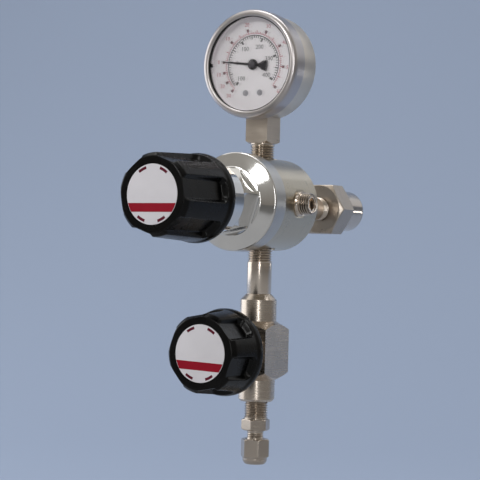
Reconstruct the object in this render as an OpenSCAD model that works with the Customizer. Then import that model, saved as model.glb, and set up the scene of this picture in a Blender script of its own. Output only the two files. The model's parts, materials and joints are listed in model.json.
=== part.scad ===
// Point-of-use gas regulator: knob-adjusted diaphragm regulator with a compound pressure gauge on top,
// an outlet diaphragm valve and a tube fitting below, and an inlet coupling and end fitting behind.
// X runs to the side port, Y from the knobs to the inlet, Z up. Sizes are in millimetres.
// Inside the modules the side ports, the gauge and the outlet cross the knob's axis at zero;
// at_inlet() then puts the mouth of the inlet port at the origin.

/* [Regulator body] */
// Radius of the round body
body_r = 25.9; // [25:0.1:28]
// From the plane of the side ports forward to the bonnet skirt
body_front = 18.1; // [16:0.1:22]
// From the plane of the side ports back to the rear face
body_rear = 19.2; // [18:0.1:26]
// Radius of the neck that the bonnet screws on
neck_r = 23.6; // [22.8:0.1:24.4]
// Length of the neck
neck_len = 8.9; // [8.5:0.1:12]
// Depth of the low-pressure chamber under the diaphragm
chamber_depth = 3.5; // [2.5:0.1:4.5]
// Radius of the low-pressure chamber
chamber_r = 17; // [15.5:0.1:18]
// Thread radius of the quarter-inch pipe ports
pipe_r = 6.86; // [6.5:0.01:7.2]
// Depth of a side port, from the round face
port_depth = 12.9; // [10:0.1:13.5]
// Radius of the spot face around a side port
port_face_r = 8.4; // [7.6:0.1:9]
// Depth of the spot face, from the round face
port_face_depth = 1.2; // [0.8:0.1:1.3]
// Radius of the drilled gas passages
passage_r = 1.5; // [1:0.1:2]

/* [Bonnet] */
// Radius of the skirt
skirt_r = 27.1; // [26.5:0.1:28.5]
// Length of the skirt
skirt_len = 10.8; // [10.4:0.1:13]
// Rise of the shallow cone between skirt and wrench flats
cone_rise = 3.2; // [2.4:0.1:4.5]
// Width across the six wrench flats
bonnet_af = 32; // [30:0.5:33]
// Length of the wrench flats
flats_len = 15.2; // [10:0.1:18]
// Radius of the round spring housing
housing_r = 18.4; // [17.6:0.1:19]
// Radius of the spring chamber
housing_bore_r = 13.6; // [13:0.1:14]
// Thickness of the housing's threaded end
housing_end = 6; // [4:0.5:7]

/* [Knobs] */
// Radius of the rear rim
rim_r = 23.8; // [23:0.1:25]
// Radius of the lobes at the front
lobe_r = 21.6; // [21:0.1:22.2]
// Radius of the flat front face
knob_face_r = 19.6; // [18:0.1:20]
// Number of finger flutes
flutes = 6; // [4:1:8]
// Width of a flute
flute_w = 12; // [9:0.5:14]
// Distance of a flute's floor from the axis
flute_floor = 19.2; // [18.6:0.1:20.4]
// Width of the smooth collar behind the flutes
knob_collar = 6.5; // [4:0.5:9]
// Turn of the adjusting knob's flutes as stored
adjust_phase = -10; // [-30:1:30]
// Turn of the valve knob's flutes as stored
valve_phase = -40; // [-60:1:0]
// Length of the adjusting knob
adjust_knob_len = 42.5; // [41:0.5:50]
// Length of the valve knob
valve_knob_len = 26.4; // [25:0.1:32]
// Radius of the round label on each knob
label_r = 15.5; // [12:0.1:17]
// Thickness of a label
label_t = 0.4; // [0.3:0.1:0.8]
// Radius of the hub inside a knob
hub_r = 8.6; // [7.5:0.1:10]

/* [Adjusting screw and load spring] */
// Radius of the adjusting screw
screw_r = 5; // [4:0.1:5.5]
// Lead of the adjusting screw's thread
screw_lead = 1.5; // [1:0.25:2]
// Travel of the adjusting screw, from backed out to fully in
screw_travel = 6.4; // [4:0.1:6.6]
// Free length of the load spring
spring_len = 29; // [26:0.5:31]
// Outer radius of the load spring
spring_r = 12.6; // [11.8:0.1:12.9]
// Wire radius of the load spring
spring_wire_r = 1.5; // [1:0.1:1.7]
// Turns of the load spring
spring_turns = 5; // [3:1:6]
// Thickness of the spring plates
plate_t = 3.5; // [3:0.1:4.5]
// Radius of the thrust ball
ball_r = 2.5; // [2:0.1:3]

/* [Diaphragm and seat] */
// Thickness of the diaphragm
diaphragm_t = 0.4; // [0.2:0.1:0.6]
// Thickness of the slip ring that clamps the diaphragm
slip_t = 0.8; // [0.5:0.1:1.2]
// Opening stroke of the poppet
stroke = 0.8; // [0.4:0.1:1]
// Radius of the nozzle
nozzle_r = 7; // [6.5:0.1:8]
// Radius of the orifice
orifice_r = 1.7; // [1.5:0.1:2]
// Radius of the poppet's stem
stem_r = 1; // [0.7:0.1:1.2]
// Radius of the poppet's head
poppet_r = 4.2; // [3.8:0.1:4.6]
// Radius of the bore behind the nozzle, for poppet and filter
cavity_r = 5.6; // [5.2:0.1:6]

/* [Inlet line] */
// From the plane of the side ports back to the coupling's front face
coupling_y = 65.8; // [60:0.1:80]
// Width across the six wrench flats of the coupling
coupling_af = 29; // [28:0.1:32]
// Length of the coupling
coupling_len = 15.5; // [15:0.1:28]
// Radius of the round end fitting
end_r = 12.2; // [11:0.1:12.8]
// Length of the end fitting behind the coupling
end_len = 19.7; // [18:0.1:24]
// Wall radius of the tapped inlet port
inlet_r = 5.7; // [5:0.1:6.2]
// Depth of the tapped inlet port
inlet_depth = 12; // [10:0.5:16]
// Bore of pipes and fittings
bore_r = 3.4; // [2:0.1:4]

/* [Relief valve] */
// Thickness of the collar
relief_collar_t = 1.4; // [1:0.1:3]
// Radius of the vent thread
relief_thread_r = 6.05; // [5.5:0.05:6.4]
// Length of the vent thread
relief_thread_len = 5.7; // [5:0.1:12]
// Width across the flats of the hexagon socket
relief_key_af = 6.35; // [5:0.05:6.6]
// Opening travel of the relief valve's poppet
relief_lift = 1.2; // [0.6:0.1:1.4]

/* [Gauge] */
// Height of the gauge's centre above the knob axis
gauge_z = 76.9; // [72:0.1:90]
// Radius of the case
case_r = 29.2; // [27:0.1:33]
// Thickness of the bezel's wall around the case
bezel_wall = 0.95; // [0.7:0.05:2]
// From the case's radius in to the opening of the bezel
bezel_lip = 2.8; // [2.4:0.1:4]
// From the port plane forward to the bezel's front
bezel_front = 17.8; // [17.4:0.1:20]
// From the port plane forward to the bezel's rear edge
bezel_rear = 7; // [5:0.1:8]
// From the port plane back to the case's rear face
case_rear = 8; // [7.5:0.1:12]
// Thickness of the case wall
case_wall = 0.9; // [0.7:0.1:1]
// From the port plane forward to the face of the dial
dial_y = 12.1; // [11.6:0.1:13.6]
// Thickness of the window
window_t = 1.5; // [1.2:0.1:1.7]
// Thickness of the window's gasket
gasket_t = 1.1; // [0.8:0.1:1.3]
// Length of the pointer from the hub's centre to its tip
pointer_len = 20.7; // [17:0.1:22]
// Radius of the pointer's hub
pointer_hub_r = 3; // [2.5:0.1:4]
// Angle from the pointer's zero to the low end of the scale
scale_below = 53; // [0:1:60]
// Angle from the pointer's zero to the high end of the scale
scale_above = 215; // [180:1:220]
// Direction of the dial's zero, from the +X side
zero_angle = 173.5; // [160:0.5:180]
// Width across the flats of the gauge's square stem
square_w = 14; // [13:0.1:15]
// Height of the square stem's lower face above the knob axis
square_z = 33.8; // [30:0.1:38]

/* [Gauge movement] */
// Module of the gear teeth
tooth_module = 0.36; // [0.3:0.01:0.4]
// Teeth on the arbor's pinion
pinion_teeth = 12; // [10:1:14]
// Teeth on the sector gear's full circle
sector_teeth = 84; // [72:1:90]
// Direction from the arbor to the sector's pivot
sector_dir = -40; // [-60:1:-20]
// Radius of the arbor
arbor_r = 0.8; // [0.6:0.05:0.9]
// Radius of the Bourdon tube's curve
tube_curve_r = 23.6; // [23.2:0.1:24]

/* [Outlet pipe and valve] */
// Height of the valve's axis below the knob axis
valve_drop = 82; // [80:0.1:95]
// Side of the valve's square bar
block_w = 25.4; // [25:0.1:28]
// Height of the square block, over its turned shoulders
block_h = 32.8; // [30:0.1:36]
// Radius of the turned ends above and below the block
end_round_r = 10.15; // [9.5:0.05:11]
// Length of a turned end
end_round_len = 11.9; // [11:0.1:16]
// Height of the large chamfer above the upper turned end
top_chamfer = 3.1; // [2:0.1:3.3]
// Width across the flats of the valve's bonnet nut
nut_af = 20.6; // [19:0.1:22]
// Length of the valve's bonnet nut
nut_len = 11; // [10:0.1:12]
// From the port plane forward to the valve knob's rim
valve_rim_y = 32.3; // [31:0.1:36]
// Radius of the valve's stem
valve_stem_r = 3.5; // [3:0.1:4]
// Lead of the valve stem's thread
valve_lead = 1; // [0.8:0.1:1.25]
// Lift of the valve's stem from closed to open
valve_lift = 1.25; // [1:0.05:1.3]

/* [Tube fitting] */
// Radius of the male pipe thread below the valve
male_r = 6.65; // [6:0.05:6.8]
// Length of thread that shows below the valve
male_len = 10.1; // [6:0.1:14]
// Width across the flats of the connector and its nut
fitting_af = 14.29; // [14:0.01:16]
// Height of the connector's hexagon
fitting_hex_h = 6.4; // [5:0.1:9]
// Radius of the connector's neck
fitting_neck_r = 4.65; // [4.4:0.05:5]
// Length of neck that shows above the nut
fitting_neck_len = 4.7; // [3:0.1:7]
// Height of the nut's hexagon
tube_nut_h = 10.4; // [9:0.1:13]
// Height of the nut's round end
tube_nut_end = 3.6; // [3:0.1:5]
// Radius of the socket for the tube
tube_r = 3.225; // [3.2:0.005:3.25]

/* [Clearances] */
// Radial clearance of threads and pressed pins
thread_gap = 0.05; // [0.02:0.01:0.1]
// Clearance between faces that meet across a joint
face_gap = 0.1; // [0.05:0.01:0.3]
// Clearance between a knob and what it turns over
knob_gap = 0.6; // [0.4:0.1:1]

/* [Hidden] */
$fn = 72;

// Places along the knob axis; forward is -Y.
neck_y = -body_front - neck_len;
skirt_rear_y = -body_front - face_gap * 3;
skirt_front_y = skirt_rear_y - skirt_len;
flats_y = skirt_front_y - cone_rise;
housing_y = flats_y - flats_len;
clamp_y = neck_y - diaphragm_t - slip_t;
plate_y = neck_y - diaphragm_t - face_gap;
spring_y0 = plate_y - plate_t;
spring_y1 = spring_y0 - spring_len;
upper_plate_y = spring_y1 - plate_t;
ball_seat_depth = ball_r * 0.6;
ball_y = upper_plate_y + ball_seat_depth - ball_r;
screw_tip_y = ball_y - ball_r;
housing_inner_y = screw_tip_y - 1.2;
housing_front_y = housing_inner_y - housing_end;
knob_rim_y = housing_y - 16.4;
knob_face_y = knob_rim_y - adjust_knob_len;
knob_skin = 3.5;
knob_edge = 2.2;
hub_rear_y = housing_front_y - screw_travel - knob_gap;
screw_end_y = knob_face_y + knob_skin;
label_sunk = label_t * 0.75;
housing_step = 2;
knob_bore_r = housing_r + knob_gap - housing_step;
housing_step_y = knob_rim_y + 3.5;

// Places of the seat and the inlet line; back is +Y.
chamber_y = neck_y + chamber_depth;
nozzle_flange_t = 1.6;
nozzle_flange_r = nozzle_r + 1.6;
nozzle_rear_y = -7;
insert_t = 1.6;
poppet_head_len = 3.2;
poppet_guide_len = 5;
filter_t = 2.5;
filter_y = body_rear - 12;
nipple_in_y = filter_y + filter_t;
passage_ring_r = chamber_r - 1 - passage_r;
coupling_end_y = coupling_y + coupling_len;
nipple_out_y = coupling_y + 7.5;
inlet_mouth_y = coupling_end_y + end_len;
inlet_stop_y = inlet_mouth_y - inlet_depth;
end_thread_r = end_r - 2.6;
end_thread_y = coupling_end_y - 6;

// Places of the relief valve, outwards from the knob axis.
relief_bore_r = relief_key_af / sqrt(3) + 0.7;
relief_end = body_r + relief_collar_t + relief_thread_len;
relief_plug_len = 5.5;
relief_seat = body_r - port_depth + 2;

// Places of the gauge.
lip_round = 3.4;
bezel_r = case_r + thread_gap + bezel_wall;
bezel_open_r = case_r - bezel_lip;
window_front_y = -bezel_front + 0.9;
window_rear_y = window_front_y + window_t;
window_rim_r = bezel_open_r + 1.7;
gasket_rear_y = window_rear_y + gasket_t;
dial_rim_r = bezel_open_r + 0.5;
dial_t = 0.5;
dial_rear_y = -dial_y + dial_t;
scale_swing = scale_below + scale_above;
pointer_t = 0.4;
pointer_y = -dial_y - 0.9;
hub_front_y = -dial_y - 1.5;
gear_ratio = sector_teeth / pinion_teeth;
pinion_pr = tooth_module * pinion_teeth / 2;
sector_pr = tooth_module * sector_teeth / 2;
gear_centres = pinion_pr + sector_pr;
gear_y0 = -6.2;
gear_y1 = -4.6;
frame_front_y = -8.5;
frame_rear_y = -1;
frame_plate_t = 1;
frame_end = 5;
frame_half_w = 4;
pillar_r = 0.7;
sector_rest = (scale_swing / 2 - scale_below) / gear_ratio;
sector_first = -ceil((scale_swing / 2 / gear_ratio + 6) / 360 * sector_teeth);
// A pinion tooth gap faces the sector tooth that is turned off centre at rest.
pinion_phase = -sector_dir + 180 / pinion_teeth - sector_rest * gear_ratio;
link_arm = 4.2;
link_len = 11.2;
link_dir = 73;
link_pin_r = 0.5;
link_y = gear_y1 + 0.2;
link_t = 0.8;
lug_y0 = link_y + link_t + 0.3;
lug_y1 = frame_rear_y - 0.3;
tube_y = -2;
tube_w = 3.4;
tube_t = 2;
lug_len = 7.6;
lug_w = 6.4;
tube_start = 98;
tube_sweep = 267;
lug_dir = 9;
tail_t = 2.5;
tail_y = frame_rear_y + frame_plate_t;

// Places of the valve and the tube fitting; down is -Z.
block_half = block_h / 2;
corner_r = block_w / sqrt(2) + 1;
shoulder = (corner_r - end_round_r) * tan(30);
block_face_y = -block_w / 2;
valve_pocket_r = 8;
valve_seat_y = -6.4;
valve_film_t = 0.3;
valve_film_y = valve_seat_y - 1.2;
button_len = 6;
button_y = valve_film_y - valve_film_t - face_gap;
valve_stem_y = button_y - button_len - face_gap;
valve_nut_y = block_face_y - nut_len;
valve_neck_y = -valve_rim_y + 0.8;
valve_face_y = -valve_rim_y - valve_knob_len;
valve_hub_rear_y = valve_neck_y - knob_gap;
end_top_z = block_half + end_round_len;
end_top_mouth_z = end_top_z + top_chamfer;
pipe_engage = 11;
fitting_top_z = -valve_drop - block_half - end_round_len;
male_bottom_z = fitting_top_z - male_len;
hex_bottom_z = male_bottom_z - fitting_hex_h;
nut_top_z = hex_bottom_z - fitting_neck_len;
nut_hex_bottom_z = nut_top_z - tube_nut_h;
nut_bottom_z = nut_hex_bottom_z - tube_nut_end;
fitting_thread_r = 5.5;
cone_mouth_z = nut_hex_bottom_z + 2.4;

// Puts the model's parts so that the inlet port's mouth lies at the origin.
module at_inlet() translate([0, -inlet_mouth_y, 0]) children();

// Stands a shape that was drawn along Z along +Y, its base at y.
module along_y(y) translate([0, y, 0]) rotate([-90, 0, 0]) children();

// Round bar along Y between two places, whatever their order.
module bar_y(y0, y1, r) along_y(min(y0, y1)) cylinder(h = abs(y1 - y0), r = r);

// Round bar along Z between two heights.
module bar_z(z0, z1, r) translate([0, 0, min(z0, z1)]) cylinder(h = abs(z1 - z0), r = r);

// Profile of [radius, y] points turned about the Y axis.
module turned_y(points) rotate([-90, 0, 0]) rotate_extrude() polygon(points);

// Hexagon bar along Z, given across its flats, a corner pointing to phase.
module hex_bar(h, af, phase = 0) rotate([0, 0, phase]) cylinder(h = h, r = af / sqrt(3), $fn = 6);

// Hexagon bar along Z whose ends are turned to 30 degree chamfers.
module hex_nut(h, af, phase = 0) {
    face_r = af / 2 * 0.97;
    outer_r = af / sqrt(3) + 1;
    cut = (outer_r - face_r) * tan(30);
    intersection() {
        hex_bar(h, af, phase);
        rotate_extrude() polygon([[0, 0], [face_r, 0], [outer_r, cut], [outer_r, h - cut],
            [face_r, h], [0, h]]);
    }
}

// Ring along Y between two places.
module ring_y(y0, y1, outer, inner) difference() {
    bar_y(y0, y1, outer);
    bar_y(min(y0, y1) - 1, max(y0, y1) + 1, inner);
}

// Coil spring along +Z with its end turns closed and ground flat, as one swept tube.
module coil(len, mean_r, wire_r, turns, sides = 8, steps = 20) {
    count = turns * steps;
    lift = len - 2 * wire_r;
    function wire_z(t) = wire_r + lift * (t < 1 ? t * t * 0.5 / (turns - 1)
        : t > turns - 1 ? 1 - (turns - t) * (turns - t) * 0.5 / (turns - 1)
        : (t - 0.5) / (turns - 1));
    rings = [for (i = [0:count]) let (t = i / steps, a = 360 * t)
        [for (k = [0:sides - 1]) let (b = 360 * k / sides, r = mean_r + wire_r * cos(b))
            [r * cos(a), r * sin(a), wire_z(t) + wire_r * sin(b)]]];
    points = [for (ring = rings) for (p = ring) p];
    walls = [for (i = [0:count - 1]) for (k = [0:sides - 1]) let (n = (k + 1) % sides)
        [i * sides + k, (i + 1) * sides + k, (i + 1) * sides + n, i * sides + n]];
    polyhedron(points, concat(walls, [[for (k = [0:sides - 1]) k]],
        [[for (k = [sides - 1:-1:0]) count * sides + k]]));
}

// Outline of one gear tooth flank: a point of the involute at roll angle u on base radius rb.
function involute(rb, u) = [rb * (cos(u) + u * PI / 180 * sin(u)), rb * (sin(u) - u * PI / 180 * cos(u))];
function turn(p, a) = [p[0] * cos(a) - p[1] * sin(a), p[0] * sin(a) + p[1] * cos(a)];

// Corner points of one involute tooth that points along +X, from root to root.
function tooth(pr, teeth, backlash = 0.06) =
    let (rb = pr * cos(20), ra = pr + tooth_module * 0.9, rf = pr - tooth_module * 1.2,
        u_tip = sqrt(ra * ra - rb * rb) / rb * 180 / PI,
        u_pitch = sqrt(pr * pr - rb * rb) / rb * 180 / PI,
        u_low = rf > rb ? sqrt(rf * rf - rb * rb) / rb * 180 / PI : 0,
        p = involute(rb, u_pitch), lean = atan2(p[1], p[0]),
        half = 90 / teeth - backlash / pr * 90 / PI,
        flank = [for (i = [0:4]) turn(involute(rb, u_low + (u_tip - u_low) * i / 4), -half - lean)])
    concat([turn([rf, 0], atan2(flank[0][1], flank[0][0]))], flank,
        [for (i = [4:-1:0]) [flank[i][0], -flank[i][1]]],
        [turn([rf, 0], -atan2(flank[0][1], flank[0][0]))]);

// Gear wheel or sector: teeth from index first to last around a disc of root radius.
module gear_2d(pr, teeth, first, last) polygon([for (i = [first:last])
    for (p = tooth(pr, teeth)) turn(p, 360 * i / teeth)]);

// Finger knob with its face at z = 0 and its open rim at z = len; its hub ends at z = hub_end.
module knob(len, hub_end, bore_r, phase) difference() {
    rotate_extrude() polygon([[0, label_sunk], [label_r + thread_gap, label_sunk],
        [label_r + thread_gap, 0], [knob_face_r, 0], [lobe_r - 0.5, knob_edge - 0.8],
        [lobe_r, knob_edge], [rim_r - 0.7, len - knob_collar + 1.2], [rim_r, len - knob_collar + 3],
        [rim_r, len - 1.4], [rim_r - 0.5, len - 0.4], [rim_r - 1.4, len],
        [housing_r + knob_gap, len], [housing_r + knob_gap, len - knob_collar + 2.5],
        [knob_bore_r, len - knob_collar + 0.5], [knob_bore_r, knob_skin],
        [hub_r, knob_skin], [hub_r, hub_end], [bore_r, hub_end], [bore_r, knob_skin],
        [0, knob_skin]]);
    for (i = [0:flutes - 1]) rotate([0, 0, phase + 360 * i / flutes]) flute(len - knob_collar);
}

// Cut for one finger flute along a knob: flat floor, round corners at its blind end.
module flute(end) {
    corner = 3;
    side = flute_w / 2 - corner;
    arc = [for (a = [0:15:90]) [end - corner + corner * sin(a), side + corner * cos(a)]];
    back = [for (i = [6:-1:0]) [arc[i][0], -arc[i][1]]];
    translate([flute_floor, 0, 0]) rotate([0, -90, 180]) linear_extrude(height = 10)
        polygon(concat([[-1, flute_w / 2]], arc, back, [[-1, -flute_w / 2]]));
}

module regulator_body() color("#93958a") difference() {
    turned_y([[0, neck_y], [neck_r, neck_y], [neck_r, -body_front], [body_r - 0.4, -body_front],
        [body_r, -body_front + 0.4], [body_r, body_rear - 0.8], [body_r - 0.8, body_rear],
        [0, body_rear]]);
    bar_y(neck_y - 1, chamber_y, chamber_r);
    bar_y(chamber_y - 1, chamber_y + nozzle_flange_t, nozzle_flange_r + thread_gap);
    bar_y(chamber_y, nozzle_rear_y, nozzle_r + thread_gap);
    bar_y(nozzle_rear_y - 1, body_rear, cavity_r);
    bar_y(nipple_in_y, body_rear + 1, pipe_r + thread_gap);
    for (spin = [0, 180, 270]) rotate([0, spin, 0]) {
        bar_z(-body_r + port_depth, -body_r - 1, pipe_r + thread_gap);
        bar_z(-body_r + port_face_depth, -body_r - 1, port_face_r);
        translate([0, 0, -passage_ring_r]) bar_y(chamber_y - 1, 0, passage_r);
    }
}

module bonnet() color("#c4c8cb") difference() {
    union() {
        turned_y([[0, skirt_rear_y], [skirt_r - 0.3, skirt_rear_y], [skirt_r, skirt_rear_y - 0.3],
            [skirt_r, skirt_front_y + 0.8], [skirt_r - 0.5, skirt_front_y],
            [bonnet_af / sqrt(3) + 0.2, flats_y], [0, flats_y]]);
        intersection() {
            turned_y([[0, clamp_y], [housing_r, clamp_y], [housing_r, housing_step_y],
                [housing_r - housing_step, housing_step_y - 0.5],
                [housing_r - housing_step, housing_front_y + 1.2],
                [housing_r - housing_step - 1.2, housing_front_y], [0, housing_front_y]]);
            union() {
                along_y(housing_y) rotate([0, 0, -12]) hex_bar(clamp_y - housing_y, bonnet_af);
                bar_y(housing_front_y - 1, housing_y, housing_r + 1);
            }
        }
    }
    bar_y(clamp_y, 0, neck_r + thread_gap);
    bar_y(clamp_y + 1, housing_inner_y, housing_bore_r);
    bar_y(housing_inner_y + 1, housing_front_y - 1, screw_r + thread_gap);
}

module slip_ring() color("#b9a57c")
    ring_y(clamp_y, clamp_y + slip_t, neck_r - 0.4, chamber_r - 1);

module diaphragm() color("#a8abae") bar_y(neck_y, neck_y - diaphragm_t, neck_r - 0.4);

module diaphragm_plate() color("#b08d57") turned_y([[0, plate_y], [housing_bore_r - knob_gap, plate_y],
    [housing_bore_r - knob_gap, spring_y0], [spring_r - 2 * spring_wire_r - 0.4, spring_y0],
    [spring_r - 2 * spring_wire_r - 0.8, spring_y0 - 1.6], [0, spring_y0 - 1.6]]);

module load_spring() color("#6f7376") along_y(spring_y1)
    coil(spring_len, spring_r - spring_wire_r, spring_wire_r, spring_turns);

module spring_plate() color("#b08d57") difference() {
    turned_y([[0, spring_y1 + 1.6], [spring_r - 2 * spring_wire_r - 0.8, spring_y1 + 1.6],
        [spring_r - 2 * spring_wire_r - 0.4, spring_y1], [housing_bore_r - knob_gap, spring_y1],
        [housing_bore_r - knob_gap, upper_plate_y], [0, upper_plate_y]]);
    translate([0, ball_y, 0]) sphere(r = ball_r + thread_gap);
}

module thrust_ball() color("#d5d8da") translate([0, ball_y, 0]) sphere(r = ball_r);

module adjusting_screw() color("#9da1a3") turned_y([[0, screw_tip_y - thread_gap],
    [screw_r - 1, screw_tip_y - thread_gap], [screw_r, screw_tip_y - 1],
    [screw_r, screw_end_y + 0.6], [screw_r - 0.6, screw_end_y], [0, screw_end_y]]);

module adjusting_knob() color("#131315") along_y(knob_face_y)
    knob(adjust_knob_len, hub_rear_y - knob_face_y, screw_r + thread_gap, adjust_phase);

module adjusting_label() color("#d9d6dc")
    bar_y(knob_face_y + label_sunk - label_t, knob_face_y + label_sunk, label_r);

module nozzle() color("#a9a08c") difference() {
    turned_y([[0, chamber_y], [nozzle_flange_r, chamber_y], [nozzle_flange_r, chamber_y + nozzle_flange_t],
        [nozzle_r, chamber_y + nozzle_flange_t], [nozzle_r, nozzle_rear_y], [0, nozzle_rear_y]]);
    bar_y(chamber_y - 1, nozzle_rear_y + 1, orifice_r);
    bar_y(nozzle_rear_y - insert_t, nozzle_rear_y + 1, poppet_r);
}

module seat_insert() color("#eef0ee")
    ring_y(nozzle_rear_y - insert_t, nozzle_rear_y, poppet_r - thread_gap, orifice_r);

module poppet() color("#b4b2aa") turned_y([[0, plate_y + diaphragm_t + face_gap], [stem_r, plate_y
    + diaphragm_t + face_gap], [stem_r, nozzle_rear_y], [poppet_r - 0.6, nozzle_rear_y + face_gap],
    [poppet_r, nozzle_rear_y + 0.6 + face_gap], [poppet_r, nozzle_rear_y + poppet_head_len],
    [stem_r + 1, nozzle_rear_y + poppet_head_len],
    [stem_r + 1, nozzle_rear_y + poppet_head_len + poppet_guide_len],
    [0, nozzle_rear_y + poppet_head_len + poppet_guide_len]]);

module poppet_spring() color("#8b8f92") along_y(nozzle_rear_y + poppet_head_len)
    coil(filter_y - nozzle_rear_y - poppet_head_len, stem_r + 2, 0.4, 6, 6, 16);

module inlet_filter() color("#8c8a7c")
    bar_y(filter_y, filter_y + filter_t, cavity_r - thread_gap);

module inlet_nipple() color("#97938a") difference() {
    turned_y([[0, nipple_in_y], [pipe_r - 0.6, nipple_in_y], [pipe_r, nipple_in_y + 0.6],
        [pipe_r, nipple_out_y - 0.6], [pipe_r - 0.6, nipple_out_y], [0, nipple_out_y]]);
    bar_y(nipple_in_y - 1, nipple_out_y + 1, bore_r);
}

module inlet_coupling() color("#93918a") difference() {
    along_y(coupling_y) hex_nut(coupling_len, coupling_af);
    bar_y(coupling_y - 1, nipple_out_y, pipe_r + thread_gap);
    bar_y(nipple_out_y - 1, end_thread_y, bore_r + 1);
    bar_y(end_thread_y, coupling_end_y + 1, end_thread_r + thread_gap);
}

module inlet_end_fitting() color("#9b9890") difference() {
    union() {
        bar_y(end_thread_y, coupling_end_y + 1, end_thread_r);
        turned_y([[0, coupling_end_y], [end_r, coupling_end_y], [end_r, inlet_mouth_y - 1.6],
            [end_r - 0.5, inlet_mouth_y - 0.5], [end_r - 1.6, inlet_mouth_y], [0, inlet_mouth_y]]);
    }
    bar_y(inlet_stop_y, inlet_mouth_y + 1, inlet_r);
    bar_y(end_thread_y - 1, inlet_stop_y + 1, bore_r);
}

// Along Z, from the body's round face outwards; relief_axis() lays it along +X.
module relief_axis() rotate([0, 90, 0]) children();

module relief_body() color("#aaa69c") relief_axis() difference() {
    rotate_extrude() polygon([[0, relief_seat - 1.5], [pipe_r - 0.5, relief_seat - 1.5],
        [pipe_r, relief_seat],
        [pipe_r, body_r + relief_collar_t - 0.3], [pipe_r - 0.3, body_r + relief_collar_t],
        [relief_thread_r, body_r + relief_collar_t],
        [relief_thread_r, body_r + relief_collar_t + relief_thread_len - 0.9],
        [relief_thread_r - 0.9, body_r + relief_collar_t + relief_thread_len],
        [0, body_r + relief_collar_t + relief_thread_len]]);
    bar_z(relief_seat - 2, body_r, passage_r);
    bar_z(relief_seat, body_r + 20, relief_bore_r + thread_gap);
}

module relief_poppet() color("#8f8d86") relief_axis() translate([0, 0, relief_seat + face_gap])
    rotate_extrude() polygon([[0, 0], [relief_bore_r - 0.4, 0], [relief_bore_r - 0.4, 2.2], [1.3, 2.2],
        [1.3, 5], [0, 5]]);

module relief_spring() color("#8b8f92") relief_axis() translate([0, 0, relief_seat + face_gap + 2.2])
    coil(relief_end - relief_plug_len - relief_seat - face_gap - 2.2, 2.4, 0.45, 5, 6, 16);

module relief_key_plug() color("#a39f95") relief_axis() difference() {
    bar_z(relief_end - relief_plug_len, relief_end - 0.3, relief_bore_r);
    translate([0, 0, relief_end - relief_plug_len + 1.6]) hex_bar(relief_plug_len, relief_key_af);
    bar_z(relief_end - relief_plug_len - 1, relief_end, 1.7);
}

// Everything of the gauge is drawn about its own centre and lifted here.
module at_gauge() translate([0, 0, gauge_z]) children();

module gauge_case() color("#a2a6a6") at_gauge() difference() {
    turned_y([[0, gasket_rear_y], [case_r, gasket_rear_y], [case_r, case_rear - 1.6],
        [case_r - 0.5, case_rear - 0.5], [case_r - 1.6, case_rear], [0, case_rear]]);
    turned_y([[0, gasket_rear_y - 1], [dial_rim_r + thread_gap, gasket_rear_y - 1],
        [dial_rim_r + thread_gap, dial_rear_y], [dial_rim_r - 1.2, dial_rear_y],
        [dial_rim_r - 1.2, dial_rear_y + 1.2], [case_r - case_wall, dial_rear_y + 2.4],
        [case_r - case_wall, case_rear - case_wall - 1],
        [case_r - case_wall - 1, case_rear - case_wall], [0, case_rear - case_wall]]);
    translate([-square_w / 2 - 0.4, -square_w / 2 - 0.4, -case_r - 2])
        cube([square_w + 0.8, square_w + 0.4 + thread_gap, 8]);
}

module gauge_bezel() color("#b4b8b8") at_gauge() turned_y([[bezel_open_r, window_front_y],
    [bezel_open_r, window_front_y - 0.6], [bezel_open_r + 0.9, -bezel_front + 0.35],
    [bezel_open_r + 1.7, -bezel_front], [bezel_open_r + 2.4, -bezel_front + 0.25],
    [bezel_r - 0.35, -bezel_front + 1.4], [bezel_r, -bezel_front + lip_round],
    [bezel_r, -bezel_rear - 0.3], [bezel_r - 0.3, -bezel_rear], [case_r + thread_gap, -bezel_rear],
    [case_r + thread_gap, gasket_rear_y], [window_rim_r + thread_gap, gasket_rear_y],
    [window_rim_r + thread_gap, window_front_y]]);

module gauge_window() color("#dfe8ec", 0.3) at_gauge()
    bar_y(window_front_y, window_rear_y, window_rim_r);

module window_gasket() color("#161616") at_gauge() {
    ring_y(window_rear_y, gasket_rear_y, window_rim_r, bezel_open_r);
    translate([-bezel_open_r - 0.3, window_rear_y + gasket_t / 2, 0]) rotate([0, -12, 0])
        translate([0.6, 0, 0]) cube([1.6, gasket_t, 1.8], center = true);
}

module dial() color("#d8d6da") at_gauge() difference() {
    turned_y([[0, -dial_y], [bezel_open_r, -dial_y], [bezel_open_r, gasket_rear_y], [dial_rim_r,
        gasket_rear_y], [dial_rim_r, dial_rear_y], [0, dial_rear_y]]);
    bar_y(-dial_y - 1, -dial_y + 1, arbor_r + 0.5);
}

module pointer() color("#231f24") at_gauge() difference() {
    rotate([0, -zero_angle, 0]) {
        along_y(pointer_y) linear_extrude(height = pointer_t) union() {
            polygon([[0, -0.036], [0.95, -0.01], [1, 0], [0.95, 0.01], [0, 0.036], [-0.19, 0.043],
                [-0.3, 0.116], [-0.444, 0.15], [-0.459, 0], [-0.444, -0.15], [-0.3, -0.116],
                [-0.19, -0.043]] * pointer_len);
        }
        turned_y([[0, pointer_y + pointer_t], [pointer_hub_r, pointer_y + pointer_t],
            [pointer_hub_r, hub_front_y + 0.5], [pointer_hub_r - 0.5, hub_front_y], [0, hub_front_y]]);
    }
    bar_y(hub_front_y + 0.8, pointer_y + 2, arbor_r + thread_gap);
}

module arbor_pinion() color("#c9a54a") at_gauge() {
    bar_y(hub_front_y + 0.8 + thread_gap, frame_rear_y + frame_plate_t, arbor_r);
    along_y(gear_y0) rotate([0, 0, pinion_phase]) linear_extrude(height = gear_y1 - gear_y0)
        gear_2d(pinion_pr, pinion_teeth, 0, pinion_teeth - 1);
}

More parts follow.
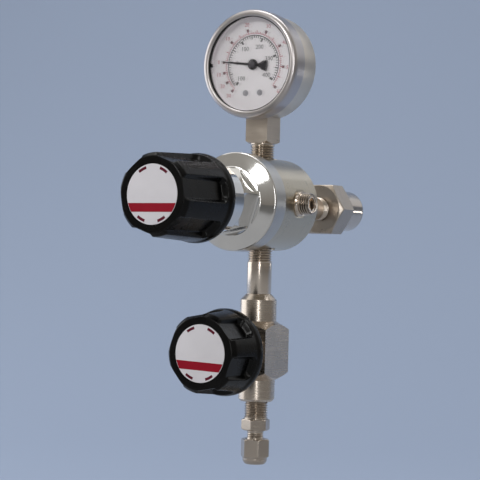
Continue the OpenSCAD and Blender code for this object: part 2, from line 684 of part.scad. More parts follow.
// Stands what was drawn about the sector's pivot at its place; its +X points at the arbor.
module at_sector() at_gauge() rotate([0, -sector_dir, 0]) translate([gear_centres, 0, 0])
    rotate([0, 180, 0]) children();

module sector_gear() color("#c9a54a") at_sector() rotate([0, sector_rest, 0]) difference() {
    along_y(gear_y0) linear_extrude(height = gear_y1 - gear_y0) union() {
        intersection() {
            gear_2d_filled(sector_pr, sector_teeth, sector_first, -sector_first);
            difference() {
                circle(r = sector_pr + 1);
                circle(r = sector_pr - 2.4);
            }
        }
        translate([-1, -1.1]) square([sector_pr, 2.2]);
        circle(r = 1.9);
        translate([-link_arm, 0]) circle(r = 1.3);
        translate([-link_arm, -1.1]) square([link_arm, 2.2]);
    }
    bar_y(gear_y0 - 1, gear_y1 + 1, arbor_r + thread_gap);
    translate([-link_arm, 0, 0]) bar_y(gear_y0 - 1, gear_y1 + 1, link_pin_r + thread_gap);
}

module gear_2d_filled(pr, teeth, first, last) polygon(concat([[0, 0]],
    [for (i = [first:last]) for (p = tooth(pr, teeth)) turn(p, 360 * i / teeth)]));

module sector_link() color("#b9bcbe") at_sector() rotate([0, sector_rest, 0])
    translate([-link_arm, 0, 0]) rotate([0, sector_dir - 180 - sector_rest - link_dir, 0]) {
        bar_y(gear_y0 - 0.3, link_y + 0.1, link_pin_r);
        translate([link_len, 0, 0]) bar_y(link_y + link_t - 0.1, lug_y1, link_pin_r);
        along_y(link_y) linear_extrude(height = link_t) union() {
            circle(r = 1.2);
            translate([0, -0.7]) square([link_len, 1.4]);
            translate([link_len, 0]) circle(r = 1.2);
        }
    }

module movement_frame() color("#c2a052") at_gauge() difference() {
    union() {
        for (y = [frame_front_y, frame_rear_y]) along_y(y) linear_extrude(height = frame_plate_t)
            rotate(-sector_dir) union() {
                translate([-frame_end, -frame_half_w])
                    square([gear_centres + frame_end + frame_half_w, 2 * frame_half_w]);
                circle(r = frame_end);
            }
        rotate([0, -sector_dir, 0]) for (side = [-1, 1])
            translate([2 * pillar_r + 0.6 - frame_end, 0, side * (frame_half_w - 1)])
                bar_y(frame_front_y, frame_rear_y + frame_plate_t / 2, pillar_r);
        rotate([0, -sector_dir, 0]) translate([gear_centres, 0, 0])
            bar_y(frame_front_y, frame_rear_y + frame_plate_t / 2, arbor_r);
    }
    for (y = [frame_front_y, frame_rear_y]) bar_y(y - 1, y + 2, arbor_r + thread_gap);
}

module bourdon_tube() color("#b48a4a") at_gauge() difference() {
    union() {
        along_y(tube_y) rotate([0, 0, tube_start]) rotate_extrude(angle = tube_sweep)
            translate([tube_curve_r - tube_t / 2, -tube_w / 2]) square([tube_t, tube_w]);
        rotate([0, lug_dir, 0]) translate([tube_curve_r + tube_t / 2 - lug_len, lug_y0, -lug_w / 2])
            cube([lug_len, lug_y1 - lug_y0, lug_w]);
    }
    rotate([0, -sector_dir, 0]) translate([gear_centres + link_arm, 0, 0])
        rotate([0, sector_dir - link_dir, 0]) translate([link_len, lug_y0 - 1, 0])
            rotate([0, link_dir - sector_dir - 90, 0]) translate([-2.2, 0, -0.9]) cube([4.4, 6, 1.8]);
}

module gauge_stem() color("#8d857c") difference() {
    union() {
        intersection() {
            translate([-square_w / 2, -square_w / 2, square_z])
                cube([square_w, square_w, gauge_z - case_r + 3 - square_z]);
            translate([0, 0, square_z]) rotate_extrude() polygon([[0, 0], [square_w / 2 + 0.6, 0],
                [square_w, 3.2], [square_w, 40], [0, 40]]);
        }
        bar_z(body_r - port_depth + 0.6, square_z + 1, pipe_r);
        at_gauge() translate([-5, tube_y - 3, -case_r + 2]) cube([10, tail_y + tail_t - tube_y + 3, 8]);
        at_gauge() translate([-5, tail_y, -case_r + 2]) cube([10, tail_t, case_r + 4]);
    }
    bar_z(body_r - port_depth - 1, gauge_z - tube_curve_r, 1.2);
    at_gauge() translate([-6, tube_y - 1.8, -tube_curve_r - 1.1]) cube([3.6, 3.6, 2.6]);
    at_gauge() translate([-3, tube_y, -tube_curve_r]) rotate([0, 90, 0]) cylinder(h = 3, r = 0.8);
}

module outlet_nipple() color("#97938a") difference() {
    bar_z(-body_r + port_depth - 0.6, -valve_drop + end_top_mouth_z - pipe_engage, pipe_r);
    bar_z(0, -valve_drop, bore_r);
}

module at_valve() translate([0, 0, -valve_drop]) children();

module valve_body() color("#8e8c82") at_valve() difference() {
    intersection() {
        translate([-block_w / 2, -block_w / 2, -end_top_z - 1])
            cube([block_w, block_w, 2 * end_top_z + top_chamfer + 2]);
        rotate_extrude() polygon([[0, -end_top_z], [end_round_r - 1.3, -end_top_z],
            [end_round_r, -end_top_z + 1.3], [end_round_r, -block_half],
            [corner_r, -block_half + shoulder], [corner_r, block_half - shoulder],
            [end_round_r, block_half], [end_round_r, end_top_z],
            [pipe_r + 0.4, end_top_mouth_z], [0, end_top_mouth_z]]);
    }
    bar_z(end_top_mouth_z - pipe_engage, end_top_mouth_z + 1, pipe_r + thread_gap);
    bar_z(0, end_top_mouth_z, bore_r - 0.8);
    bar_y(valve_seat_y - 1, 0, passage_r);
    bar_z(-end_top_z - 1, -end_top_z + pipe_engage, male_r + thread_gap);
    bar_z(-end_top_z, -6, bore_r - 0.8);
    translate([0, 0, -6]) bar_y(valve_seat_y - 1, 0, passage_r);
    bar_y(block_face_y - 1, valve_seat_y, valve_pocket_r + thread_gap);
}

module valve_seat_ring() color("#efece4") at_valve()
    ring_y(valve_film_y, valve_seat_y, 3.2, passage_r);

module valve_diaphragm() color("#a8abae") at_valve()
    bar_y(valve_film_y, valve_film_y - valve_film_t, valve_pocket_r - 0.2);

module valve_bonnet() color("#a7a59b") at_valve() difference() {
    union() {
        bar_y(valve_film_y - valve_film_t, block_face_y - 1, valve_pocket_r);
        along_y(valve_nut_y) hex_nut(nut_len, nut_af, 30);
        bar_y(valve_neck_y, valve_nut_y + 1, 7);
    }
    bar_y(valve_film_y, valve_stem_y - 2, valve_stem_r + 1.5);
    bar_y(valve_film_y, valve_neck_y - 1, valve_stem_r + thread_gap);
}

module stem_button() color("#b08d57") at_valve() turned_y([[0, button_y], [2.6, button_y],
    [valve_stem_r + 1.2, button_y - 1.4], [valve_stem_r + 1.2, button_y - 3], [2.6, button_y - 3],
    [2.6, button_y - button_len], [0, button_y - button_len]]);

module valve_stem() color("#9da1a3") at_valve() turned_y([[0, valve_stem_y],
    [valve_stem_r - 0.5, valve_stem_y], [valve_stem_r, valve_stem_y - 0.5],
    [valve_stem_r, valve_face_y + knob_skin + 0.5], [valve_stem_r - 0.5, valve_face_y + knob_skin],
    [0, valve_face_y + knob_skin]]);

module valve_knob() color("#131315") at_valve() along_y(valve_face_y)
    knob(valve_knob_len, valve_hub_rear_y - valve_face_y, valve_stem_r + thread_gap, valve_phase);

module valve_label() color("#d9d6dc") at_valve()
    bar_y(valve_face_y + label_sunk - label_t, valve_face_y + label_sunk, label_r);

module tube_connector() color("#958d84") difference() {
    union() {
        bar_z(fitting_top_z + pipe_engage - 1, male_bottom_z - 0.5, male_r);
        translate([0, 0, hex_bottom_z]) hex_nut(fitting_hex_h, fitting_af, 44);
        bar_z(hex_bottom_z + 1, nut_top_z - 1, fitting_neck_r);
        bar_z(nut_top_z + 1.2, cone_mouth_z, fitting_thread_r);
    }
    bar_z(fitting_top_z + pipe_engage, cone_mouth_z, 2.2);
    bar_z(cone_mouth_z + 9, cone_mouth_z - 1, tube_r);
    translate([0, 0, cone_mouth_z - 0.01]) cylinder(h = 2.2, r1 = tube_r + 1.27, r2 = tube_r);
}

module front_ferrule() color("#b3b0a8") translate([0, 0, cone_mouth_z]) rotate_extrude()
    polygon([[tube_r, -1.4], [tube_r + 1.6, -1.4], [tube_r + 1.6, -0.9], [tube_r + 0.15, 1.4],
        [tube_r, 1.4]]);

module back_ferrule() color("#b3b0a8") translate([0, 0, cone_mouth_z - 1.45]) rotate_extrude()
    polygon([[tube_r, -1.6], [tube_r + 1.7, -1.6], [tube_r + 1.7, -0.6], [tube_r + 0.8, 0], [tube_r, 0]]);

module tube_nut() color("#958d84") difference() {
    union() {
        translate([0, 0, nut_hex_bottom_z]) hex_nut(tube_nut_h, fitting_af, 14);
        translate([0, 0, nut_bottom_z]) rotate_extrude() polygon([[0, 0], [fitting_af / 2 - 1.8, 0],
            [fitting_af / 2 - 0.55, 1.1], [fitting_af / 2 - 0.25, 2.2],
            [fitting_af / 2 - 0.25, tube_nut_end + 1], [0, tube_nut_end + 1]]);
    }
    bar_z(nut_top_z + 1, cone_mouth_z - 3.1, fitting_thread_r + thread_gap);
    bar_z(nut_top_z + 1, nut_bottom_z - 1, tube_r);
}

at_inlet() regulator_body();
at_inlet() bonnet();
at_inlet() slip_ring();
at_inlet() diaphragm();
at_inlet() diaphragm_plate();
at_inlet() load_spring();
at_inlet() spring_plate();
at_inlet() thrust_ball();
at_inlet() adjusting_screw();
at_inlet() adjusting_knob();
at_inlet() adjusting_label();
at_inlet() nozzle();
at_inlet() seat_insert();
at_inlet() poppet();
at_inlet() poppet_spring();
at_inlet() inlet_filter();
at_inlet() inlet_nipple();
at_inlet() inlet_coupling();
at_inlet() inlet_end_fitting();
at_inlet() relief_body();
at_inlet() relief_poppet();
at_inlet() relief_spring();
at_inlet() relief_key_plug();
at_inlet() gauge_case();
at_inlet() gauge_bezel();
at_inlet() gauge_window();
at_inlet() window_gasket();
at_inlet() dial();
at_inlet() pointer();
at_inlet() arbor_pinion();
at_inlet() sector_gear();
at_inlet() sector_link();
at_inlet() movement_frame();
at_inlet() bourdon_tube();
at_inlet() gauge_stem();
at_inlet() outlet_nipple();
at_inlet() valve_body();
at_inlet() valve_seat_ring();
at_inlet() valve_diaphragm();
at_inlet() valve_bonnet();
at_inlet() stem_button();
at_inlet() valve_stem();
at_inlet() valve_knob();
at_inlet() valve_label();
at_inlet() tube_connector();
at_inlet() back_ferrule();
at_inlet() front_ferrule();
at_inlet() tube_nut();
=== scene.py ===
"""Point-of-use gas regulator: finished surfaces, printed scales and materials over its solids.

Lengths in the drawing functions are in millimetres from the crossing of the knob's axis and the
ports' axis; X runs to the relief outlet, Y from the knobs to the inlet, Z up.
"""

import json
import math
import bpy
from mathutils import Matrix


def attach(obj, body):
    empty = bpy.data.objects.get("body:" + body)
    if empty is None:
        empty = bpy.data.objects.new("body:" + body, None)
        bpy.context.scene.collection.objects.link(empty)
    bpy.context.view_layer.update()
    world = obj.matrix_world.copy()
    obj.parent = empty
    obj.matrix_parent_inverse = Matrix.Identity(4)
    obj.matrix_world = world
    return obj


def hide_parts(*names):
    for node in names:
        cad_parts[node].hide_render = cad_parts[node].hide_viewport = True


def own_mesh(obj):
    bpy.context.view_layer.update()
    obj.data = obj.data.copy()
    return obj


bl_info = {
    "name": "Point-of-use gas regulator",
    "version": (1, 0, 0),
    "blender": (4, 5, 0),
    "location": "View3D > Sidebar > Regulator",
    "description": "Turned, moulded and printed surfaces of a gas regulator with gauge and outlet valve",
    "category": "Object",
}

import bmesh
import bpy
import numpy as np
from bpy.props import FloatProperty, FloatVectorProperty, PointerProperty
from mathutils import Matrix, Vector

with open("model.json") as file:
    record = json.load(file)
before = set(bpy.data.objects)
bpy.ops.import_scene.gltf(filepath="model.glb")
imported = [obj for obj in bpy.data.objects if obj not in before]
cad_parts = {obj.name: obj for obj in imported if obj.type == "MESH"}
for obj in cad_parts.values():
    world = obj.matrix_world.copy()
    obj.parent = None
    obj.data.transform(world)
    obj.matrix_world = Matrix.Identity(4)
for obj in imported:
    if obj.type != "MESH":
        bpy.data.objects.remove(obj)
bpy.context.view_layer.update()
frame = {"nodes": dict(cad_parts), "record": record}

# Millimetres in a metre, and the distance in metres at which two points are one
MM = 1000
MERGE = 2e-6
TURN = 2 * math.pi
SIXTH = TURN / 6

# Places and radii of the regulator in millimetres
INLET_Y = 101.0
GAUGE_Z = 76.9
VALVE_Z = -82.0
NIPPLE_R = 6.86
CONNECTOR_R = 6.65
RELIEF_R = 6.05
FLUTE_COLLAR = 6.5

# The photograph: its turn about the vertical in degrees, its side in pixels, the sensor in millimetres
VIEW_TURN = 31.976
PICTURE = 480
SENSOR = 36


def linear(code):
    """A hex sRGB colour as the linear colour that Blender works in."""
    parts = [int(code[i:i + 2], 16) / 255 for i in (1, 3, 5)]
    return tuple(c / 12.92 if c <= 0.04045 else ((c + 0.055) / 1.055) ** 2.4 for c in parts)


# Shapes


def quads(rows, columns, close_rows=False, close_columns=True):
    """Faces of a grid of points numbered row by row, each joining two neighbours in one row with the
    two above them in the next; a closed direction joins its last line to its first."""
    row = np.arange(rows if close_rows else rows - 1)[:, None]
    column = np.arange(columns if close_columns else columns - 1)[None, :]
    after, above = (column + 1) % columns, (row + 1) % rows
    return np.stack([row * columns + column, row * columns + after, above * columns + after,
                     above * columns + column], -1).reshape(-1, 4)


def softened(corners, steps=5):
    """A polyline of (radius, place, rounding) corners with each corner replaced by a quadratic curve
    that leaves its two straight sides at the rounding distance."""
    corners = [tuple(c) + (0.0,) * (3 - len(c)) for c in corners]
    out = []
    for i, (radius, place, rounding) in enumerate(corners):
        here = np.array([radius, place])
        if rounding <= 0 or i in (0, len(corners) - 1):
            out.append(here[None])
            continue
        before = np.array(corners[i - 1][:2]) - here
        after = np.array(corners[i + 1][:2]) - here
        reach = min(rounding, 0.49 * np.hypot(*before), 0.49 * np.hypot(*after))
        first = here + before / np.hypot(*before) * reach
        last = here + after / np.hypot(*after) * reach
        t = np.linspace(0, 1, steps)[:, None]
        out.append((1 - t) ** 2 * first + 2 * t * (1 - t) * here + t ** 2 * last)
    return np.concatenate(out)


def closed(corners):
    """The softened polyline as a loop that runs back to its first corner, which isn't repeated."""
    return softened([*corners, corners[0]])[:-1]


def refined(profile, step, low=-1e9, high=1e9):
    """The profile with extra points, so that no straight stretch between the places low and high is
    longer than step."""
    out = [profile[:1]]
    for a, b in zip(profile[:-1], profile[1:]):
        middle = (a[1] + b[1]) / 2
        count = int(np.ceil(np.hypot(*(b - a)) / step)) if low <= middle <= high else 1
        out.append(a + (b - a) * np.linspace(0, 1, count + 1)[1:, None])
    return np.concatenate(out)


def turned(profile, axis, centre, angles=96, trim=None, loop=False):
    """A profile of (radius, place) points turned about an axis. trim(angle, place, radius) gives the
    radius that is left at each point, for flats, flutes and threads. A loop profile closes on itself."""
    angle = np.linspace(0, TURN, angles, endpoint=False) if np.isscalar(angles) else np.asarray(angles)
    radius = profile[:, :1] + 0 * angle[None]
    place = profile[:, 1:2] + 0 * angle[None]
    if trim:
        radius = trim(angle[None] + 0 * radius, place, radius)
    first, second = radius * np.cos(angle) + centre[0], radius * np.sin(angle) + centre[1]
    columns = {"X": (place, first, second), "Y": (first, place, second), "Z": (first, second, place)}
    points = np.stack(columns[axis], -1).reshape(-1, 3)
    return points, quads(len(profile), len(angle), close_rows=loop)


def rising(share):
    """A smooth step: 0 below 0, 1 above 1, and 3 t^2 - 2 t^3 between."""
    t = np.clip(share, 0, 1)
    return t * t * (3 - 2 * t)


def nearest(a, b, softness):
    """The smaller of two arrays, with their crossing rounded over by the softness."""
    gap = np.clip((a - b) / softness, -40, 40)
    return b - softness * np.log1p(np.exp(-gap))


def hexagon(across, corner, low, high, edge, foot=0.0):
    """A trim to six flats: the radius is held to half the width across flats over the cosine of the
    angle from the flat's middle, between two places. corner is one corner's angle in degrees, edge
    softens the corners, and foot is the fillet at the high end."""
    def trim(angle, place, radius):
        off = (angle - math.radians(corner)) % SIXTH - SIXTH / 2
        flat = across / 2 / np.cos(off)
        if foot:
            deep = np.clip(foot - (high - place), 0, foot)
            flat = flat + foot - np.sqrt(foot ** 2 - deep ** 2)
        inside = (place > low) & (place < high) & (radius > across / 2 * 0.7)
        return np.where(inside, nearest(radius, flat, edge), radius)
    return trim


def thread(crest, pitch, depth, low, high):
    """A trim that cuts a helical groove: the radius falls from the crest by the depth times a triangle
    wave of (place / pitch - angle / full turn) with flat crests and roots, fading out over one pitch
    at both ends."""
    def trim(angle, place, radius):
        wave = (place / pitch - angle / TURN) % 1
        groove = np.clip(1.12 - 2.4 * np.abs(wave - 0.5), 0.0, 1.0)
        fade = np.clip((place - low) / pitch, 0, 1) * np.clip((high - place) / pitch, 0, 1)
        return radius - depth * groove * fade * (radius > crest - 0.02)
    return trim


def both(*trims):
    """One trim after another."""
    def trim(angle, place, radius):
        for one in trims:
            radius = one(angle, place, radius)
        return radius
    return trim


def joined(*parts):
    """Several (points, faces) shapes as one; faces of any size are kept as lists."""
    points, faces, start = [], [], 0
    for p, f in parts:
        points.append(np.asarray(p, float))
        faces.extend((np.asarray(face) + start).tolist() for face in f)
        start += len(p)
    return np.concatenate(points), faces


def slab(outline, low, high):
    """A closed flat plate: an (n, 2) outline at two depths along Y, joined by its rim."""
    n = len(outline)
    flat = np.concatenate([np.stack([outline[:, 0], np.full(n, y), outline[:, 1]], -1) for y in (low, high)])
    rim = quads(2, n)
    return flat, [list(range(n)), list(range(2 * n - 1, n - 1, -1))] + rim.tolist()


def band(inner, outer, start, end, centre, low, high, step=3.0):
    """A flat arc between two radii and two angles (degrees, counter-clockwise from +X), as a slab."""
    count = max(2, int(abs(end - start) / step) + 1)
    angle = np.radians(np.linspace(start, end, count))
    out = np.stack([np.cos(angle), np.sin(angle)], -1)
    ring = np.concatenate([out * outer, out[::-1] * inner]) + centre
    return slab(ring, low, high)


def figures(text, height, middle, low, high):
    """Digits as closed slabs: the built-in font's outline, scaled to its height and centred."""
    curve = bpy.data.curves.new("figure", "FONT")
    curve.body, curve.resolution_u, curve.extrude = text, 2, 0.5
    holder = bpy.data.objects.new("figure", curve)
    mesh = bpy.data.meshes.new_from_object(holder)
    co = np.zeros(len(mesh.vertices) * 3)
    mesh.vertices.foreach_get("co", co)
    co = co.reshape(-1, 3)
    faces = [list(p.vertices) for p in mesh.polygons]
    bpy.data.objects.remove(holder)
    bpy.data.curves.remove(curve)
    bpy.data.meshes.remove(mesh)
    top, bottom = co.max(0), co.min(0)
    co[:, :2] -= (top + bottom)[:2] / 2
    co[:, :2] *= height / (top - bottom)[1]
    y = np.where(co[:, 2] > 0, low, high)
    return np.stack([co[:, 0] + middle[0], y, co[:, 1] + middle[1]], -1), faces


def linked(name, data):
    """A new object in the scene that shows the data."""
    thing = bpy.data.objects.new(name, data)
    bpy.context.scene.collection.objects.link(thing)
    return thing


def piece(name, parts, material, body, replaced, smooth=40, edge=0.0):
    """A mesh object from (points, faces) parts in millimetres: merged, turned outwards, shaded smooth
    up to the given angle, its edges broken by edge metres, and riding on its body."""
    points, faces = joined(*parts)
    points = (points - [0, INLET_Y, 0]) / MM
    mesh = bpy.data.meshes.new(name)
    mesh.from_pydata(points, [], faces)
    work = bmesh.new()
    work.from_mesh(mesh)
    bmesh.ops.remove_doubles(work, verts=work.verts, dist=MERGE)
    bmesh.ops.recalc_face_normals(work, faces=work.faces)
    work.to_mesh(mesh)
    work.free()
    mesh.materials.append(material)
    thing = linked(name, mesh)
    mesh.shade_smooth()
    mesh.set_sharp_from_angle(angle=math.radians(smooth))
    if edge:
        broken = thing.modifiers.new("broken_edges", "BEVEL")
        broken.width, broken.segments, broken.limit_method = edge, 2, "ANGLE"
        broken.angle_limit = math.radians(28)
        broken.harden_normals = True
    if replaced:
        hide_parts(*replaced)
    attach(thing, body)
    return thing


def steel_ring(name, rows, axis, columns, trim, material, node, smooth, centre=(0, 0)):
    """A stainless part of the regulator turned as a closed loop, in the place of its solid."""
    piece(name, [turned(rows, axis, centre, columns, trim, True)], material, "regulator", [node],
          smooth)


def copied(node, reshape=None):
    """A solid's own mesh as (points, faces) in millimetres, its loose triangles merged and its flat
    faces joined; reshape(points) may move its points first."""
    work = bmesh.new()
    work.from_mesh(frame["nodes"][node].data)
    bmesh.ops.remove_doubles(work, verts=work.verts, dist=MERGE)
    bmesh.ops.dissolve_limit(work, angle_limit=math.radians(0.5), verts=work.verts, edges=work.edges)
    points = np.array([v.co[:] for v in work.verts]) * MM + [0, INLET_Y, 0]
    faces = [[v.index for v in f.verts] for f in work.faces]
    work.free()
    return (reshape(points) if reshape else points), faces


# Materials


def fill(tree, node, inputs):
    """Links each input that is given a socket, and sets each other one to its value."""
    for key, value in inputs.items():
        if isinstance(value, bpy.types.NodeSocket):
            tree.links.new(value, node.inputs[key])
        else:
            node.inputs[key].default_value = value


def add(tree, kind, inputs=None, stops=(), **settings):
    """Adds one node with its settings and inputs and, on a ramp, its (position, linear colour) stops."""
    node = tree.nodes.new(kind)
    for key, value in settings.items():
        setattr(node, key, value)
    fill(tree, node, inputs or {})
    for _ in stops[2:]:
        node.color_ramp.elements.new(0.5)
    if stops:
        for element, (position, colour) in zip(node.color_ramp.elements, stops):
            element.position, element.color = position, (*colour, 1)
    return node


def fresh(name):
    """A new material, its tree, its shader joined to the output, and the place on the object."""
    material = bpy.data.materials.new(name)
    material.use_nodes = True
    tree = material.node_tree
    tree.nodes.clear()
    shader = add(tree, "ShaderNodeBsdfPrincipled")
    add(tree, "ShaderNodeOutputMaterial", {"Surface": shader.outputs[0]})
    place = add(tree, "ShaderNodeTexCoord").outputs["Object"]
    return material, tree, shader, place


def shades(colour, spread, places):
    """Ramp stops at three places, from a little darker to a little lighter than a linear colour."""
    return [(at, tuple(min(1.0, c * k) for c in colour))
            for at, k in zip(places, (1 - spread, 1, 1 + spread))]


def turned_metal(name, colour, roughness, axis, lines, bump, spread=0.10, haze=0.08, groove=None):
    """Bar stock turned on a lathe: bright metal whose fine feed lines run round the axis, which the
    eye reads as a soft streak along the part. lines is their spacing in millimetres, drawn coarser
    than the real 0.1 mm so that it shows, over soft patches 9 mm across. groove gives a thread's crest
    radius and depth about the axis, and the share of the colour left inside it: painted shade that
    darkens the thread's grooves."""
    material, tree, shader, place = fresh(name)
    around, along, patch = MM / 22.0, MM / lines, MM / 9.0
    stretch = {"X": (along, around, around), "Y": (around, along, around), "Z": (around, around, along)}
    feed = add(tree, "ShaderNodeMapping", {"Vector": place, "Scale": stretch[axis]})
    lathe = add(tree, "ShaderNodeTexNoise", {"Vector": feed.outputs[0], "Scale": 1.0, "Detail": 3.0,
                                             "Roughness": 0.6}).outputs["Fac"]
    cloud = add(tree, "ShaderNodeTexNoise", {"Vector": place, "Scale": patch, "Detail": 4.0}).outputs["Fac"]
    mixed = add(tree, "ShaderNodeMix", {"Factor": 0.45, "A": lathe, "B": cloud}).outputs[0]
    low, high = 0.3, 0.7
    tint = add(tree, "ShaderNodeValToRGB", {"Fac": mixed}, shades(colour, spread, (low, 0.5, high)))
    dull = add(tree, "ShaderNodeMapRange", {"Value": mixed, "From Min": low, "From Max": high,
                                            "To Min": roughness - haze, "To Max": roughness + haze})
    relief = add(tree, "ShaderNodeBump", {"Height": lathe, "Strength": bump, "Distance": 0.04 / MM})
    shade = tint.outputs[0]
    if groove:
        crest, depth, left = groove
        across = {"X": (0, 1, 1), "Y": (1, 0, 1), "Z": (1, 1, 0)}[axis]
        centred = add(tree, "ShaderNodeVectorMath", {0: place, 1: (0, INLET_Y / MM, 0)}, operation="ADD")
        level = add(tree, "ShaderNodeVectorMath", {0: centred.outputs[0], 1: across}, operation="MULTIPLY")
        radius = add(tree, "ShaderNodeVectorMath", {0: level.outputs[0]}, operation="LENGTH")
        deep = add(tree, "ShaderNodeMapRange", {"Value": radius.outputs["Value"], "From Max": crest / MM,
                                                "From Min": (crest - depth - 0.2) / MM})
        # Painted shade in the thread's grooves: darkest near the root, a little warm, back to the plain
        # colour at the crest
        painted_groove_shade = [(at, (k, 0.96 * k, 0.92 * k)) for at, k in ((0.15, left), (0.7, (1 + left) / 2))]
        dark = add(tree, "ShaderNodeValToRGB", {"Fac": deep.outputs[0]},
                   [(0.0, (1, 1, 1)), *painted_groove_shade, (1.0, (1, 1, 1))])
        shade = add(tree, "ShaderNodeVectorMath", {0: shade, "Scale": dark.outputs[0]},
                    operation="SCALE").outputs[0]
    fill(tree, shader, {"Metallic": 1.0, "Base Color": shade, "Roughness": dull.outputs[0],
                        "Normal": relief.outputs[0]})
    return material


def stainless(name, roughness, axis, share=1.0, lines=0.35, bump=0.12, spread=0.08, haze=0.05, groove=None):
    """Turned or milled stainless steel: the shared steel colour, times a share that paints light into it
    above one and shade below one, for how much of the room the part mirrors, and haze for how much
    its shine varies."""
    colour = tuple(share * v for v in colours().steel)
    return turned_metal(name, colour, roughness, axis, lines, bump, spread, haze, groove)


def chromed(name, colour, roughness, satin, satin_from):
    """Decorative chrome plate on polished brass: a mirror of a neutral white, with the faint waviness
    that polishing leaves, some 6 mm across. Past the place satin_from along Y, in metres, the plate is
    satin, as the skirt is, which spreads the lights into one even grey, and its colour is painted
    0.7 times darker there as painted shade."""
    material, tree, shader, place = fresh(name)
    along = add(tree, "ShaderNodeSeparateXYZ", {0: place})
    edge = 0.2 / MM
    skirt = add(tree, "ShaderNodeMapRange", {"Value": along.outputs["Y"], "From Min": satin_from - edge,
                                             "From Max": satin_from + edge})
    wave, smear = [add(tree, "ShaderNodeTexNoise", {"Vector": place, "Scale": MM / across, "Detail": detail})
                   .outputs["Fac"] for across, detail in ((6.0, 1.0), (14.0, 5.0))]
    tint = add(tree, "ShaderNodeValToRGB", {"Fac": smear}, shades(colour, 0.03, (0.35, 0.5, 0.65)))
    dull = add(tree, "ShaderNodeMapRange", {"Value": smear, "From Min": 0.4, "From Max": 0.7,
                                            "To Min": roughness, "To Max": roughness * 2.2})
    relief = add(tree, "ShaderNodeBump", {"Height": wave, "Strength": 0.25, "Distance": 0.06 / MM})
    rough = add(tree, "ShaderNodeMix", {"Factor": skirt.outputs[0], "A": dull.outputs[0], "B": satin})
    # Painted shade: the skirt's colour is scaled down to 0.7 of the polished plate's
    grey = add(tree, "ShaderNodeMapRange", {"Value": skirt.outputs[0], "To Min": 1.0, "To Max": 0.7})
    shade = add(tree, "ShaderNodeVectorMath", {0: tint.outputs[0], "Scale": grey.outputs[0]},
                operation="SCALE")
    fill(tree, shader, {"Metallic": 1.0, "Base Color": shade.outputs[0], "Roughness": rough.outputs[0],
                        "Normal": relief.outputs[0]})
    return material


def moulded(name, colour, roughness, grain=0.5, bump=0.12, sheen=0.5, spread=0.12):
    """A moulded, printed or painted skin: an even colour with a fine texture, grain millimetres across,
    whose sheen shows soft lights."""
    material, tree, shader, place = fresh(name)
    skin, cloud = [add(tree, "ShaderNodeTexNoise", {"Vector": place, "Scale": MM / across, "Detail": detail})
                   .outputs["Fac"] for across, detail in ((grain, 2.0), (12.0, 4.0))]
    low, high = 0.35, 0.65
    tint = add(tree, "ShaderNodeValToRGB", {"Fac": cloud}, shades(colour, spread, (low, 0.5, high)))
    dull = add(tree, "ShaderNodeMapRange", {"Value": cloud, "From Min": low, "From Max": high,
                                            "To Min": roughness * 0.85, "To Max": roughness * 1.2})
    relief = add(tree, "ShaderNodeBump", {"Height": skin, "Strength": bump, "Distance": 0.05 / MM})
    fill(tree, shader, {"Specular IOR Level": sheen, "Base Color": tint.outputs[0],
                        "Roughness": dull.outputs[0], "Normal": relief.outputs[0]})
    return material


def black_rubber(name):
    """Moulded black rubber: a matt skin that takes hardly any light."""
    return moulded(name, linear("#141414"), 0.6, grain=0.6, bump=0.2)


def clear_glass(name):
    """Flat gauge glass: clear, hardly tinted, seen only by its reflections; most light passes straight
    through it to the dial."""
    material, tree, shader, place = fresh(name)
    dust = add(tree, "ShaderNodeTexNoise", {"Vector": place, "Scale": MM / 5.0, "Detail": 4.0})
    film = add(tree, "ShaderNodeMapRange", {"Value": dust.outputs["Fac"], "From Min": 0.4, "From Max": 0.8,
                                            "To Min": 0.02, "To Max": 0.06})
    fill(tree, shader, {"Base Color": (0.96, 0.98, 0.98, 1), "Transmission Weight": 1.0, "IOR": 1.45,
                        "Alpha": 0.15, "Roughness": film.outputs[0]})
    return material


def sweep_paper(name, near, far):
    """Matt paper of the floor and backdrop: near is its colour in front of the object, a neutral one
    for the polished parts to mirror, and far its colour behind; they blend over 0.45 m along the
    photograph's line of sight."""
    material, tree, shader, place = fresh(name)
    sight = (-math.sin(math.radians(VIEW_TURN)), math.cos(math.radians(VIEW_TURN)), 0)
    depth = add(tree, "ShaderNodeVectorMath", {0: place, 1: sight}, operation="DOT_PRODUCT")
    blend = add(tree, "ShaderNodeMapRange", {"Value": depth.outputs["Value"], "From Min": -0.15,
                                             "From Max": 0.30})
    tint = add(tree, "ShaderNodeValToRGB", {"Fac": blend.outputs[0]}, [(0.0, near), (1.0, far)])
    fill(tree, shader, {"Roughness": 0.9, "Specular IOR Level": 0.1, "Base Color": tint.outputs[0]})
    return material


def coat(node, material):
    """Gives a solid's own mesh a finish."""
    mesh = frame["nodes"][node].data
    mesh.materials.clear()
    mesh.materials.append(material)


def tone(name, description, code):
    """A colour that a user may change, its default given as an sRGB hex value."""
    return FloatVectorProperty(name=name, description=description, subtype="COLOR", default=linear(code))


class RegulatorSizes(bpy.types.PropertyGroup):
    """Sizes of the finish that a user may want to change."""
    edge: FloatProperty(name="Broken edge", description="Rounding of the machined edges",
                        default=0.00022, min=0, max=0.001, unit="LENGTH", precision=5)
    pitch: FloatProperty(name="Pipe thread pitch", description="Spacing of the thread crests, in millimetres",
                         default=1.41, min=0.8, max=2.0)
    depth: FloatProperty(name="Pipe thread depth", description="Depth of the thread groove, in millimetres",
                         default=0.95, min=0.2, max=1.1)
    print_lift: FloatProperty(name="Print thickness", description="Height of printed marks, in millimetres",
                              default=0.04, min=0.01, max=0.1)


